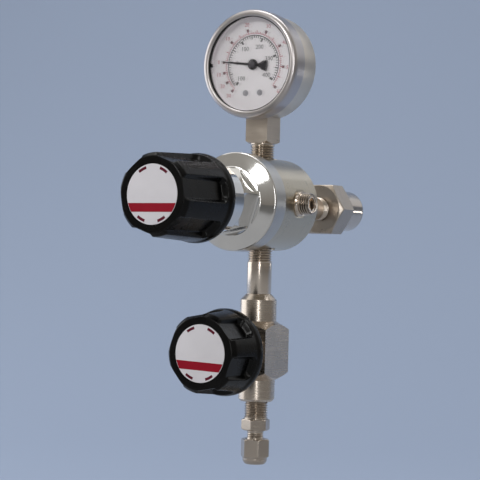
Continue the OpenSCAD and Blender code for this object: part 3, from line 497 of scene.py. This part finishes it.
class RegulatorColours(bpy.types.PropertyGroup):
    """Colours of the visible finishes."""
    steel: tone("Stainless steel", "Pipes, valve block and fittings", "#d6cbbf")
    plated: tone("Plated body", "Satin plate of the round body", "#c8c0b0")
    chrome: tone("Chrome", "Polished bonnet", "#e9e8e6")
    knob: tone("Knob plastic", "Both finger knobs", "#030304")
    label: tone("Label", "White of the knob labels", "#e2e0e6")
    red: tone("Print red", "Broad band of the labels", "#980824")
    dial: tone("Dial", "White of the gauge dial", "#f6f2f6")
    dial_red: tone("Dial red", "Outer scale of the dial", "#b65868")


def sizes():
    return bpy.context.scene.regulator_sizes


def colours():
    return bpy.context.scene.regulator_colours


def knob_angles():
    """Angles of a knob's columns: each sixth of a turn about a flute's middle, dense at the walls."""
    sixth = np.concatenate([np.linspace(-30, -22, 5), np.linspace(-21.2, -12.8, 20),
                            np.linspace(-12, 12, 9), np.linspace(12.8, 21.2, 20), np.linspace(22, 28, 4)])
    return np.radians((sixth[None] + 60 * np.arange(6)[:, None]).ravel())


def fluted(phase, face, length, floor=19.2, width=12.4, corner=3.0, soft=0.8):
    """A trim for six finger flutes: where a point lies inside the rounded rectangle that the flute
    shows from the side, the radius falls to the flat floor; the wall between is a smooth step of the
    signed distance to that rectangle."""
    def trim(angle, place, radius):
        off = (angle - math.radians(phase) + SIXTH / 2) % SIXTH - SIXTH / 2
        across = np.abs(radius * np.sin(off)) - (width / 2 - corner)
        along = (place - face) - (length - FLUTE_COLLAR - corner)
        outside = np.hypot(np.maximum(across, 0), np.maximum(along, 0))
        signed = outside + np.minimum(np.maximum(across, along), 0) - corner
        wall = rising((signed + soft) / (2 * soft))
        flat = floor / np.cos(off)
        return np.where(radius > flat, flat + (radius - flat) * wall, radius)
    return trim


def knob_shape(face, length, hub_end, bore, phase, centre_z):
    """A moulded knob as one closed loop: face, chamfer, tapered side with flutes, round rear rim,
    cavity, hub and bore."""
    outer = softened([(0, face + 0.3), (15.55, face + 0.3, 0.05), (15.55, face, 0.15), (19.6, face, 0.5),
                      (21.6, face + 2.2, 0.7), (23.1, face + length - 5.3, 1.5),
                      (23.8, face + length - 3.5, 1.2), (23.8, face + length, 1.3),
                      (19.0, face + length, 0.4), (19.0, face + length - 4), (17.0, face + length - 6),
                      (17.0, face + 3.5, 0.8), (8.6, face + 3.5, 0.8),
                      (8.6, hub_end, 0.4), (bore, hub_end), (bore, face + 3.5), (0, face + 3.5)])
    end = face + length - FLUTE_COLLAR
    rows = refined(refined(outer, 0.9), 0.22, end - 3.6, end + 0.8)
    return turned(rows, "Y", (0, centre_z), knob_angles() + math.radians(phase),
                  fluted(phase, face, length))


def label_prints(face, centre_z, lift, tilt):
    """A plain printed pattern: one broad band below the middle, turned by the tilt in degrees, and four
    short dashes near the edge."""
    low, high = face - lift, face + 0.02
    top, bottom, r = -4.45, -8.95, 15.3
    down = np.linspace(top, bottom, 7)
    left = np.stack([-np.sqrt(r * r - down ** 2), down], -1)
    right = left[::-1] * [-1, 1]
    cos, sin = math.cos(math.radians(tilt)), math.sin(math.radians(tilt))
    outline = np.concatenate([left, right]) @ np.array([[cos, sin], [-sin, cos]])
    centre, half = np.array([0, centre_z]), 10
    dashes = [band(13.3, 14.75, at - half, at + half, centre, low, high, 2.0) for at in (61, 116, 243, 296)]
    return [slab(outline + centre, low, high), *dashes]


class REGULATOR_OT_knobs(bpy.types.Operator):
    """Both finger knobs with their labels"""
    bl_idname = "regulator.knobs"
    bl_label = "Knobs"

    def execute(self, context):
        c, lift = colours(), sizes().print_lift
        # Phenolic moulding: deep black with narrow bright streaks; vinyl and its inks: flat, hardly glossy
        plastic = moulded("Phenolic_black_moulded", c.knob, 0.26, grain=0.35, bump=0.015, sheen=0.22)
        disc = moulded("Vinyl_white_printed", c.label, 0.42, grain=0.8, bump=0.03, spread=0.02)
        ink = moulded("Ink_red_band", c.red, 0.45, grain=0.8, bump=0.02, sheen=0.2, spread=0.05)
        dash = moulded("Ink_maroon_dashes", linear("#5e0c26"), 0.45, grain=0.8, bump=0.02, sheen=0.2,
                       spread=0.05)
        for name, face, length, hub, bore, phase, z, body, tilt in (
                ("adjusting", -106.5, 42.5, -81.2, 5.05, 10, 0.0, "adjusting_knob", 0.0),
                ("valve", -58.7, 26.4, -32.1, 3.55, 40, VALVE_Z, "valve_knob", -1.9)):
            piece(name + "_knob_moulding", [knob_shape(face, length, hub, bore, phase, z)], plastic, body,
                  [name + "_knob"], 50)
            front, back = face - 0.06, face + 0.3
            sticker = softened([(0, front), (15.5, front, 0.1), (15.5, back), (0, back)])
            piece(name + "_label_disc", [turned(sticker, "Y", (0, z))], disc, body, [name + "_label"])
            stripe, *dashes = label_prints(front, z, lift, tilt)
            piece(name + "_label_stripe", [stripe], ink, body, ())
            piece(name + "_label_dashes", dashes, dash, body, ())
        return {"FINISHED"}


class REGULATOR_OT_bonnet(bpy.types.Operator):
    """Polished bonnet: skirt, cone, wrench flats and spring housing"""
    bl_idname = "regulator.bonnet"
    bl_label = "Bonnet"

    def execute(self, context):
        skirt_front, flats_start, flats_end = -29.0, -47.6, -32.6
        plate = chromed("Chrome_plate_polished", colours().chrome, 0.06, 0.34,
                        (skirt_front - INLET_Y) / MM)
        shape = closed([(23.65, -20), (23.65, -18.4), (27.1, -18.4, 0.3), (27.1, -29.2, 0.7),
                        (18.9, -32.3, 0.5), (18.4, -32.9, 0.4), (18.4, -60.5, 0.3), (16.4, -61.0),
                        (16.4, -74.2, 1.2), (5.05, -74.2, 0.3), (5.05, -68.2), (13.6, -68.2, 0.5),
                        (13.6, -28.2), (23.65, -28.2)])
        rows = refined(shape, 0.8)
        for step, low, high in ((0.12, -49.0, -46.6), (0.15, -34.4, -31.8)):
            rows = refined(rows, step, low, high)
        trim = hexagon(32.0, 12, flats_start, flats_end, 0.10, foot=1.4)

        def milled(angle, place, radius):
            """The six flats, run out over half a millimetre at their start."""
            cut = trim(angle, place, radius)
            return radius + (cut - radius) * rising((place - flats_start) / 0.5)
        piece("bonnet_chromed", [turned(rows, "Y", (0, 0), 180, milled, True)], plate, "regulator",
              ["bonnet"], 35)
        return {"FINISHED"}


class REGULATOR_OT_body(bpy.types.Operator):
    """Round satin-plated body"""
    bl_idname = "regulator.body"
    bl_label = "Body"

    def execute(self, context):
        # Satin nickel on turned brass: a soft warm grey that rolls from light to dark round the drum
        plate = turned_metal("Nickel_plate_satin", colours().plated, 0.30, "Y", 0.5, 0.18, 0.06, 0.05)
        piece("body_drum", [copied("regulator_body")], plate, "regulator", ["regulator_body"],
              30, sizes().edge)
        return {"FINISHED"}


class REGULATOR_OT_pipes(bpy.types.Operator):
    """Outlet nipple, inlet nipple, coupling and end fitting"""
    bl_idname = "regulator.pipes"
    bl_label = "Pipes and coupling"

    def execute(self, context):
        s, r = sizes(), NIPPLE_R
        groove = (r, s.depth, 0.66)
        # Turned steel: streaks of light along each pipe; painted light raises the upright pipe's colour
        # 1.15 times, painted shade lowers the level coupling's to 0.72 and darkens the inside of the threads
        upright = stainless("Stainless_turned_upright", 0.22, "Z", 1.15, groove=groove)
        level = stainless("Stainless_turned_level", 0.30, "Y", 0.72)
        cut_level = stainless("Stainless_threads_level", 0.22, "Y", groove=groove)
        polished = stainless("Stainless_turned_bright", 0.16, "Y", lines=0.4, spread=0.06, haze=0.04)
        tube = softened([(3.4, -13.6), (6.4, -13.6), (r, -14.2), (r, -33.4), (r, -61.0), (6.4, -61.6),
                         (3.4, -61.6)])
        steel_ring("outlet_nipple_threaded", refined(tube, 0.12, -33.4, -14.2), "Z", 90,
                   thread(r, s.pitch, s.depth, -33.0, -14.0), upright, "outlet_nipple", 85)
        tube = softened([(3.4, 9.7), (6.3, 9.7), (r, 10.3), (r, 18.0), (r, 27.5), (r, 59.5), (r, 67.0),
                         (r, 72.7), (6.3, 73.3), (3.4, 73.3)])
        rows = refined(refined(tube, 0.15, 19.0, 27.5), 0.15, 59.5, 67.0)
        ends = both(thread(r, s.pitch, s.depth, 17.5, 27.0), thread(r, s.pitch, s.depth, 60.0, 67.5))
        steel_ring("inlet_nipple_threaded", rows, "Y", 72, ends, cut_level, "inlet_nipple", 60)
        sleeve = closed([(6.91, 70), (6.91, 65.8, 0.3), (14.0, 65.8, 0.2), (16.9, 67.5, 0.2),
                         (16.9, 79.6, 0.2), (14.0, 81.3, 0.2), (9.65, 81.3), (9.65, 75.3), (4.4, 75.3),
                         (4.4, 73.3), (6.91, 73.3)])
        rows = refined(refined(sleeve, 1.2), 0.3, 66.0, 67.6)
        steel_ring("inlet_coupling_hexagon", rows, "Y", 144, hexagon(29.0, 0, 65.9, 81.2, 0.08),
                   level, "inlet_coupling", 35)
        end = closed([(5.7, 95), (5.7, 89.0), (3.4, 89.0), (3.4, 75.3), (9.6, 75.3), (9.6, 81.35),
                      (12.2, 81.35, 0.3), (12.2, 101.0, 1.6), (6.5, 101.0, 0.2), (5.7, 100.2)])
        steel_ring("inlet_end_turned", refined(end, 0.8), "Y", 120, None, polished,
                   "inlet_end_fitting", 35)
        return {"FINISHED"}


class REGULATOR_OT_relief(bpy.types.Operator):
    """Relief outlet: collar, vent thread and key plug"""
    bl_idname = "regulator.relief"
    bl_label = "Relief outlet"

    def execute(self, context):
        r, pitch, depth = RELIEF_R, 1.35, 0.95
        # Turned steel end-on: a bright face, with painted shade that darkens the thread's grooves almost to
        # black
        steel = stainless("Stainless_turned_side", 0.22, "X", bump=0.10, groove=(r, depth, 0.22))
        stub = softened([(1.5, 13.5), (6.36, 13.5), (NIPPLE_R, 15.0), (NIPPLE_R, 27.3, 0.3), (r, 27.3),
                         (r, 32.4), (5.15, 33.0, 0.15), (4.42, 33.0), (4.42, 15.0), (1.5, 15.0)])
        steel_ring("relief_body_threaded", refined(stub, 0.15, 27.31, 32.5), "X", 84,
                   thread(r, pitch, depth, 27.0, 33.6), steel, "relief_body", 50)
        piece("relief_key_plug_socket", [copied("relief_key_plug")], steel, "regulator",
              ["relief_key_plug"], 30, 0.00012)
        return {"FINISHED"}


class REGULATOR_OT_gauge(bpy.types.Operator):
    """Gauge stem with its thread, spun case, gasket bead and rolled bezel"""
    bl_idname = "regulator.gauge"
    bl_label = "Gauge housing"

    def execute(self, context):
        s, r, root = sizes(), NIPPLE_R, 5.6
        # Milled bar: even grey flats; cut thread: dark lines of painted shade in its grooves; polished and
        # spun sheet: soft bright bands
        bar = stainless("Stainless_milled_bar", 0.32, "Z", lines=0.6, bump=0.22, haze=0.08)
        cutting = stainless("Stainless_thread_cut", 0.20, "Z", bump=0.0, spread=0.05, haze=0.03,
                            groove=(r, s.depth, 0.66))
        sheet = turned_metal("Stainless_sheet_polished", linear("#c8c3c3"), 0.32, "Y", 0.9, 0.06, 0.04, 0.04)
        spun = turned_metal("Stainless_sheet_spun", linear("#e4dacb"), 0.36, "Y", 0.9, 0.06, 0.04, 0.04)

        def slimmed(points):
            """Draws the threaded part of the stem in to its root, to leave room for the thread."""
            radius = np.hypot(points[:, 0], points[:, 1])
            shank = (points[:, 2] < 34.9) & (radius > 6.0) & (radius < 7.0)
            scale = np.where(shank, root / np.maximum(radius, 1e-6), 1.0)
            return points * np.stack([scale, scale, np.ones_like(scale)], -1)
        piece("gauge_stem_square", [copied("gauge_stem", slimmed)], bar, "regulator", ["gauge_stem"],
              30)
        shank = softened([(5.0, 13.8), (6.3, 13.8), (r, 14.4), (r, 34.2), (5.0, 34.2)])
        cut = thread(r, s.pitch, s.depth, 13.0, 33.4)
        piece("gauge_stem_thread", [turned(refined(shank, 0.12, 22, 34.2), "Z", (0, 0), 90, cut, True)],
              cutting, "regulator", (), 70)
        piece("gauge_case_spun", [copied("gauge_case")], spun, "regulator", ["gauge_case"],
              40, 0.0003)
        lip = closed([(26.4, -16.9), (26.4, -17.2, 0.1), (27.0, -17.75, 0.4), (28.1, -17.8, 0.5),
                      (29.9, -16.9, 0.9), (30.2, -14.9, 0.8), (30.2, -7.0, 0.3), (29.25, -7.0),
                      (29.25, -14.3), (28.15, -14.3), (28.15, -16.9)])
        bead = softened([(25.95, -16.88), (26.42, -16.88), (26.42, -17.1), (25.95, -17.0)])
        piece("gauge_gasket_bead", [turned(bead, "Y", (0, GAUGE_Z), 120, None, True)],
              black_rubber("Rubber_black_bead"), "regulator", ())
        piece("gauge_bezel_rolled", [turned(refined(lip, 1.2), "Y", (0, GAUGE_Z), 160, None, True)], sheet,
              "regulator", ["gauge_bezel"], 40)
        return {"FINISHED"}


def scale_marks(y, lift):
    """Both scales of the dial as lists of shapes: the inner one black, the outer one red, and the
    outer one's bold marks."""
    low, high = y - lift, y + 0.02
    middle = np.array([0.0, GAUGE_Z])
    black = [band(16.1, 16.55, -35, 225, middle, low, high)]
    for i in range(51):
        at = 225 - 5.2 * i
        major, half = i % 10 == 0, i % 5 == 0
        inner, outer, width = (13.3, 15.4, 2.4) if major else (14.1, 16.2, 1.1) if half else (14.8, 16.2, 0.8)
        black.append(band(inner, outer, at - width, at + width, middle, low, high, 9))
    for i, number in enumerate(("100", "0", "100", "200", "300", "400")):
        at = math.radians(225 - 52 * i)
        spot = middle + 10.5 * np.array([math.cos(at), math.sin(at)])
        black.append(figures(number, 2.4, spot, low, high))
    red = [band(17.25, 17.5, -42, 227, middle, low, high)]
    dark = []
    for i, at in enumerate(np.concatenate([np.linspace(227, 174, 16), np.linspace(174, -42, 61)[1:]])):
        outer, width = (19.2, 0.75) if i % 5 == 0 else (18.3, 0.4)
        red.append(band(17.45, outer, at - width, at + width, middle, low, high, 9))
    for number, at in (("30", 227), ("20", 209.5), ("10", 192), ("0", 174), ("10", 138), ("20", 102),
                       ("30", 66), ("40", 30), ("50", -6), ("60", -42)):
        turn = math.radians(at)
        way = np.array([math.cos(turn), math.sin(turn)])
        dark.append(band(18.6, 20.2, at - 2.2, at + 2.2, middle, low, high, 9))
        red.append(figures(number, 2.1, middle + 22.9 * way, low, high))
    return black, red, dark


class REGULATOR_OT_dial(bpy.types.Operator):
    """Dial face with its two plain scales, its screws and the pointer's hub cap"""
    bl_idname = "regulator.dial"
    bl_label = "Dial"

    def execute(self, context):
        c, lift = colours(), sizes().print_lift
        # Baked enamel: one even white; screen inks: flat colour without shine of its own
        coat("dial", moulded("Enamel_white_dial", c.dial, 0.45, grain=1.2, bump=0.02, spread=0.015))
        black = moulded("Ink_black_scale", linear("#17151b"), 0.5, spread=0.05)
        red = moulded("Ink_red_scale", c.dial_red, 0.5, spread=0.05)
        dark = moulded("Ink_maroon_scale", linear("#5a1224"), 0.5, spread=0.05)
        for name, marks, ink in zip(("inner", "outer", "majors"), scale_marks(-12.1, lift),
                                    (black, red, dark)):
            piece("dial_scale_" + name, marks, ink, "regulator", ())
        head = softened([(0, -12.6), (1.5, -12.6, 0.3), (1.7, -12.2, 0.1), (1.7, -12.08), (0, -12.08)])
        heads = [turned(head, "Y", (x, GAUGE_Z - 15.7), 32) for x in (-4.6, 4.6)]
        piece("dial_screws", heads, moulded("Zinc_grey_dial_screws", linear("#8f8e94"), 0.4), "regulator",
              ())
        cap = softened([(0, -14.1), (1.3, -14.1, 0.2), (1.8, -13.8, 0.1), (1.8, -13.55), (0, -13.55)])
        piece("pointer_hub_cap", [turned(cap, "Y", (0, GAUGE_Z), 48)],
              moulded("Steel_blacked_hub_cap", linear("#4e4b52"), 0.35, spread=0.05), "pointer", ())
        return {"FINISHED"}


class REGULATOR_OT_valve(bpy.types.Operator):
    """Outlet valve: its block and its bonnet nut"""
    bl_idname = "regulator.valve"
    bl_label = "Outlet valve"

    def execute(self, context):
        # Brushed bar: an even grey with faint upright strokes; turned nut: rings round its axis
        bar = stainless("Stainless_bar_brushed", 0.27, "Z", lines=0.5, bump=0.07, spread=0.04)
        piece("valve_block", [copied("valve_body")], bar, "regulator", ["valve_body"],
              30, sizes().edge)
        level = stainless("Stainless_nut_turned", 0.28, "Y", bump=0.25, spread=0.10, haze=0.08)
        nut = closed([(3.55, -16.1), (3.55, -31.5), (6.7, -31.5, 0.2), (7.0, -31.2), (7.0, -23.7, 0.2),
                      (9.99, -23.7, 0.2), (12.2, -22.4, 0.3), (12.2, -14.0, 0.3), (9.99, -12.7, 0.2),
                      (8.0, -12.7), (8.0, -7.9), (5.0, -7.9), (5.0, -16.1)])
        steel_ring("valve_bonnet_turned", refined(nut, 0.8), "Y", 120,
                   hexagon(20.6, 30, -23.6, -12.8, 0.08), level, "valve_bonnet", 35, (0, VALVE_Z))
        return {"FINISHED"}


class REGULATOR_OT_fitting(bpy.types.Operator):
    """Tube connector and its nut"""
    bl_idname = "regulator.fitting"
    bl_label = "Tube fitting"

    def execute(self, context):
        s, r, across = sizes(), CONNECTOR_R, 14.29
        # Drawn and turned steel: long soft streaks, broken by the threads; painted shade lowers the whole
        # fitting's colour to 0.88 and faintly darkens its thread grooves
        steel = stainless("Stainless_fitting_turned", 0.24, "Z", 0.88, bump=0.10, groove=(r, s.depth, 0.95))
        body = closed([(2.2, -100), (2.2, -99.9), (6.15, -99.9), (r, -100.5), (r, -120.2), (5.6, -120.4, 0.2),
                       (6.93, -120.2, 0.1), (8.6, -121.15, 0.2), (8.6, -125.65, 0.2), (6.93, -126.6, 0.1),
                       (4.65, -126.6, 0.3), (4.65, -130.3), (5.0, -132.5), (5.5, -132.6), (5.5, -139.3),
                       (4.495, -139.3), (3.225, -137.1), (3.225, -130.3), (2.2, -130.3)])
        rows = refined(body, 0.5, -127, -119)
        for low, high in ((-120.2, -109.0), (-132, -126.7)):
            rows = refined(rows, 0.12, low, high)
        cut = both(hexagon(across, 44, -126.6, -120.2, 0.06), thread(r, s.pitch, s.depth, -120.0, -100.0),
                   thread(4.65, 1.27, 0.35, -131.5, -127.2))
        steel_ring("tube_connector_turned", rows, "Z", 96, cut, steel, "tube_connector", 40)
        nut = closed([(5.55, -135), (5.55, -131.3, 0.2), (6.93, -131.3, 0.15), (8.6, -132.3, 0.2),
                      (8.6, -140.8, 0.2), (7.0, -141.7, 0.1), (6.9, -142.0), (6.9, -143.5, 0.6),
                      (5.6, -145.5, 0.9), (3.225, -145.5, 0.2), (3.225, -142.4), (5.55, -142.4)])
        steel_ring("tube_nut_turned", refined(nut, 0.4), "Z", 96,
                   hexagon(across, 14, -141.8, -131.2, 0.06), steel, "tube_nut", 35)
        return {"FINISHED"}


class REGULATOR_OT_inside(bpy.types.Operator):
    """Springs, both parts of the diaphragm, and the finishes of the other hidden solids"""
    bl_idname = "regulator.inside"
    bl_label = "Inner parts"

    def execute(self, context):
        # Brass: warm yellow streaks; fine steel and zinc: cool greys; bronze: brown grains, hardly shiny
        brass = turned_metal("Brass_machined", linear("#c9a45a"), 0.28, "Y", 0.4, 0.15, 0.07)
        inner = turned_metal("Stainless_fine_turned", linear("#b5b4b0"), 0.25, "Y", 0.3, 0.15)
        zinc = turned_metal("Steel_zinc_plated", linear("#a9acae"), 0.30, "Y", 0.8, 0.25)
        wire = turned_metal("Spring_wire_drawn", linear("#7d8082"), 0.35, "Y", 0.6, 0.15)
        bronze = moulded("Bronze_sintered_grains", linear("#8a7148"), 0.65, grain=0.3, bump=0.6)
        bronze.node_tree.nodes["Principled BSDF"].inputs["Metallic"].default_value = 0.8
        finishes = {
            "brass": brass, "stainless_inner": inner, "stainless_fittings": inner, "steel_screws": zinc,
            "spring_steel": wire, "sintered_bronze": bronze,
            "glass": clear_glass("Glass_flat_window"),
            "gasket_rubber": black_rubber("Rubber_black_gasket"),
            "pointer_black": moulded("Paint_black_pointer", linear("#1d1a20"), 0.4, grain=0.8, bump=0.03),
            "seat_plastic": moulded("Fluoropolymer_white", linear("#eceae4"), 0.5, grain=0.8, bump=0.04,
                                    spread=0.02),
        }
        for node, joint, axis, anchor, keep in (
                ("load_spring", "screw_feed", (0, 1, 0), (0, -31.0, 0), 22.6 / 29.0),
                ("poppet_spring", "poppet_stroke", (0, 1, 0), (0, 7.146, 0), 10.092 / 10.892),
                ("relief_spring", "relief_lift", (1, 0, 0), (27.44, 0, 0), 8.88 / 10.08)):
            coil = piece(node + "_wound", [copied(node)], wire, "regulator", [node], 50)
            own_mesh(coil)
        split, edge, front, back = 13.6, 23.2, -27.4, -27.0
        rim = np.array([(split, front), (edge, front), (edge, back), (split, back)])
        middle = np.array([(0, front), (split, front), (split, back), (0, back)])
        piece("diaphragm_rim", [turned(rim, "Y", (0, 0), 96, None, True)], inner, "regulator", ["diaphragm"])
        piece("diaphragm_middle", [turned(middle, "Y", (0, 0), 96)], inner, "diaphragm_plate", ())
        for part in frame["record"]["subparts"]:
            finish = finishes.get(part["material_slot"])
            if finish and not frame["nodes"][part["node"]].hide_render:
                coat(part["node"], finish)
        return {"FINISHED"}


def camera_at():
    """The photograph's camera: turned 32 degrees about the vertical, 0.9 m away, hardly tilted; its
    place follows from the picture's offset of the crossing of the two axes."""
    turn, tilt, roll = math.radians(VIEW_TURN), math.radians(-0.941), math.radians(1.467)
    distance, lens_px, column_px, row_px = 900.0, 1604.045, 261.118, 203.971
    forward = Vector((-math.sin(turn) * math.cos(tilt), math.cos(turn) * math.cos(tilt), -math.sin(tilt)))
    right = forward.cross(Vector((0, 0, 1))).normalized()
    up = right.cross(forward)
    right, up = (math.cos(roll) * right + math.sin(roll) * up, -math.sin(roll) * right + math.cos(roll) * up)
    shift_x = (column_px - PICTURE / 2) / lens_px * distance
    shift_y = -(row_px - PICTURE / 2) / lens_px * distance
    place = -distance * forward - shift_x * right - shift_y * up - Vector((0, INLET_Y, 0))
    matrix = Matrix((right, up, -forward)).transposed().to_4x4()
    matrix.translation = place / MM
    return matrix, lens_px / PICTURE * SENSOR


class REGULATOR_OT_stage(bpy.types.Operator):
    """Pale floor and backdrop, soft lights and the photograph's camera"""
    bl_idname = "regulator.stage"
    bl_label = "Stage"

    def execute(self, context):
        matrix, lens = camera_at()
        eye = bpy.data.cameras.new("camera")
        eye.lens, eye.sensor_width, eye.clip_start = lens, SENSOR, 0.01
        camera = linked("camera", eye)
        camera.matrix_world = matrix
        context.scene.camera = camera

        paper = sweep_paper("Paper_pale_matt", linear("#a2a3a5"), linear("#9eacc4"))
        # A level floor, a quarter circle up and a wall, all in metres, square to the line of sight
        front, floor_z, start, radius, height, half_width = -9.0, -0.235, 0.75, 1.5, 3.2, 4.5
        bend = np.linspace(0, math.pi / 2, 25)
        rise = np.stack([start + radius * np.sin(bend), floor_z + radius - radius * np.cos(bend)], -1)
        line = np.concatenate([[[front, floor_z]], rise, [[start + radius, height]]])
        wide = np.linspace(-half_width, half_width, 9)
        turn = math.radians(VIEW_TURN)
        points = [(x * math.cos(turn) - d * math.sin(turn), x * math.sin(turn) + d * math.cos(turn), z)
                  for d, z in line for x in wide]
        mesh = bpy.data.meshes.new("floor")
        mesh.from_pydata(points, [], quads(len(line), len(wide), close_columns=False).tolist())
        mesh.materials.append(paper)
        mesh.shade_smooth()
        floor = linked("floor", mesh)

        world = bpy.data.worlds.new("studio")
        world.use_nodes = True
        tree = world.node_tree
        tree.nodes.clear()
        sky = add(tree, "ShaderNodeTexCoord").outputs["Generated"]
        up = add(tree, "ShaderNodeSeparateXYZ", {0: sky}).outputs["Z"]
        level = add(tree, "ShaderNodeMapRange", {"Value": up, "From Min": -1.0, "From Max": 1.0})
        room = add(tree, "ShaderNodeValToRGB", {"Fac": level.outputs[0]},
                   [(0.40, linear("#7a756f")), (0.50, linear("#7c7771")), (0.62, linear("#928f8a")),
                    (0.85, linear("#98958f"))])
        walls = add(tree, "ShaderNodeBackground", {"Color": room.outputs[0]})
        add(tree, "ShaderNodeOutputWorld", {"Surface": walls.outputs[0]})
        context.scene.world = world

        target, backdrop = Vector((0, -0.12, -0.02)), Vector((-1.1, 1.6, 0.2))
        for name, spot, size, power in (
                ("window_front", (-0.07, -1.25, 0.60), (0.34, 0.26), 3.6),
                ("strip_front", (0.80, -1.40, 0.16), (0.12, 0.72), 2.5),
                ("wall_left", (-1.45, -0.40, 0.15), (1.5, 1.2), 8.5),
                ("ceiling", (-0.45, -0.1, 1.60), (2.0, 2.0), 8.0),
                ("strip_back", (0.633, 1.165, 0.0), (0.16, 0.035), 0.17),
                ("strip_back_high", (0.07, 1.08, 0.68), (0.45, 0.035), 0.10),
                ("wall_back_right", (0.75, 1.45, 1.0), (1.4, 1.2), 2.2),
                ("backdrop_wash", (0.0, 0.2, 2.2), (2.4, 0.8), 26.0)):
            lamp = bpy.data.lights.new(name, "AREA")
            lamp.shape, lamp.energy = "RECTANGLE", power
            lamp.size, lamp.size_y = size
            thing = linked(name, lamp)
            thing.location = spot
            aim = backdrop if name == "backdrop_wash" else target
            thing.rotation_euler = (Vector(spot) - aim).to_track_quat("Z", "Y").to_euler()
            thing.visible_camera = False
        context.scene.view_settings.view_transform = "Standard"
        return {"FINISHED"}


OPERATORS = (REGULATOR_OT_body, REGULATOR_OT_bonnet, REGULATOR_OT_knobs, REGULATOR_OT_pipes,
             REGULATOR_OT_relief, REGULATOR_OT_gauge, REGULATOR_OT_dial, REGULATOR_OT_valve,
             REGULATOR_OT_fitting, REGULATOR_OT_inside, REGULATOR_OT_stage)


class REGULATOR_PT_panel(bpy.types.Panel):
    """Lists the pieces, sizes and colours"""
    bl_idname = "REGULATOR_PT_panel"
    bl_label = "Gas regulator"
    bl_space_type = "VIEW_3D"
    bl_region_type = "UI"
    bl_category = "Regulator"

    def draw(self, context):
        for group in (sizes(), colours()):
            column = self.layout.column(align=True)
            for key in group.__annotations__:
                column.prop(group, key)
        for operator in OPERATORS:
            self.layout.operator(operator.bl_idname)


CLASSES = (RegulatorSizes, RegulatorColours, *OPERATORS, REGULATOR_PT_panel)


def register():
    for one in CLASSES:
        bpy.utils.register_class(one)
    bpy.types.Scene.regulator_sizes = PointerProperty(type=RegulatorSizes)
    bpy.types.Scene.regulator_colours = PointerProperty(type=RegulatorColours)


def unregister():
    del bpy.types.Scene.regulator_colours
    del bpy.types.Scene.regulator_sizes
    for one in reversed(CLASSES):
        bpy.utils.unregister_class(one)


def main():
    register()
    for operator in OPERATORS:
        family, action = operator.bl_idname.split(".")
        getattr(getattr(bpy.ops, family), action)()


if __name__ == "__main__":
    main()
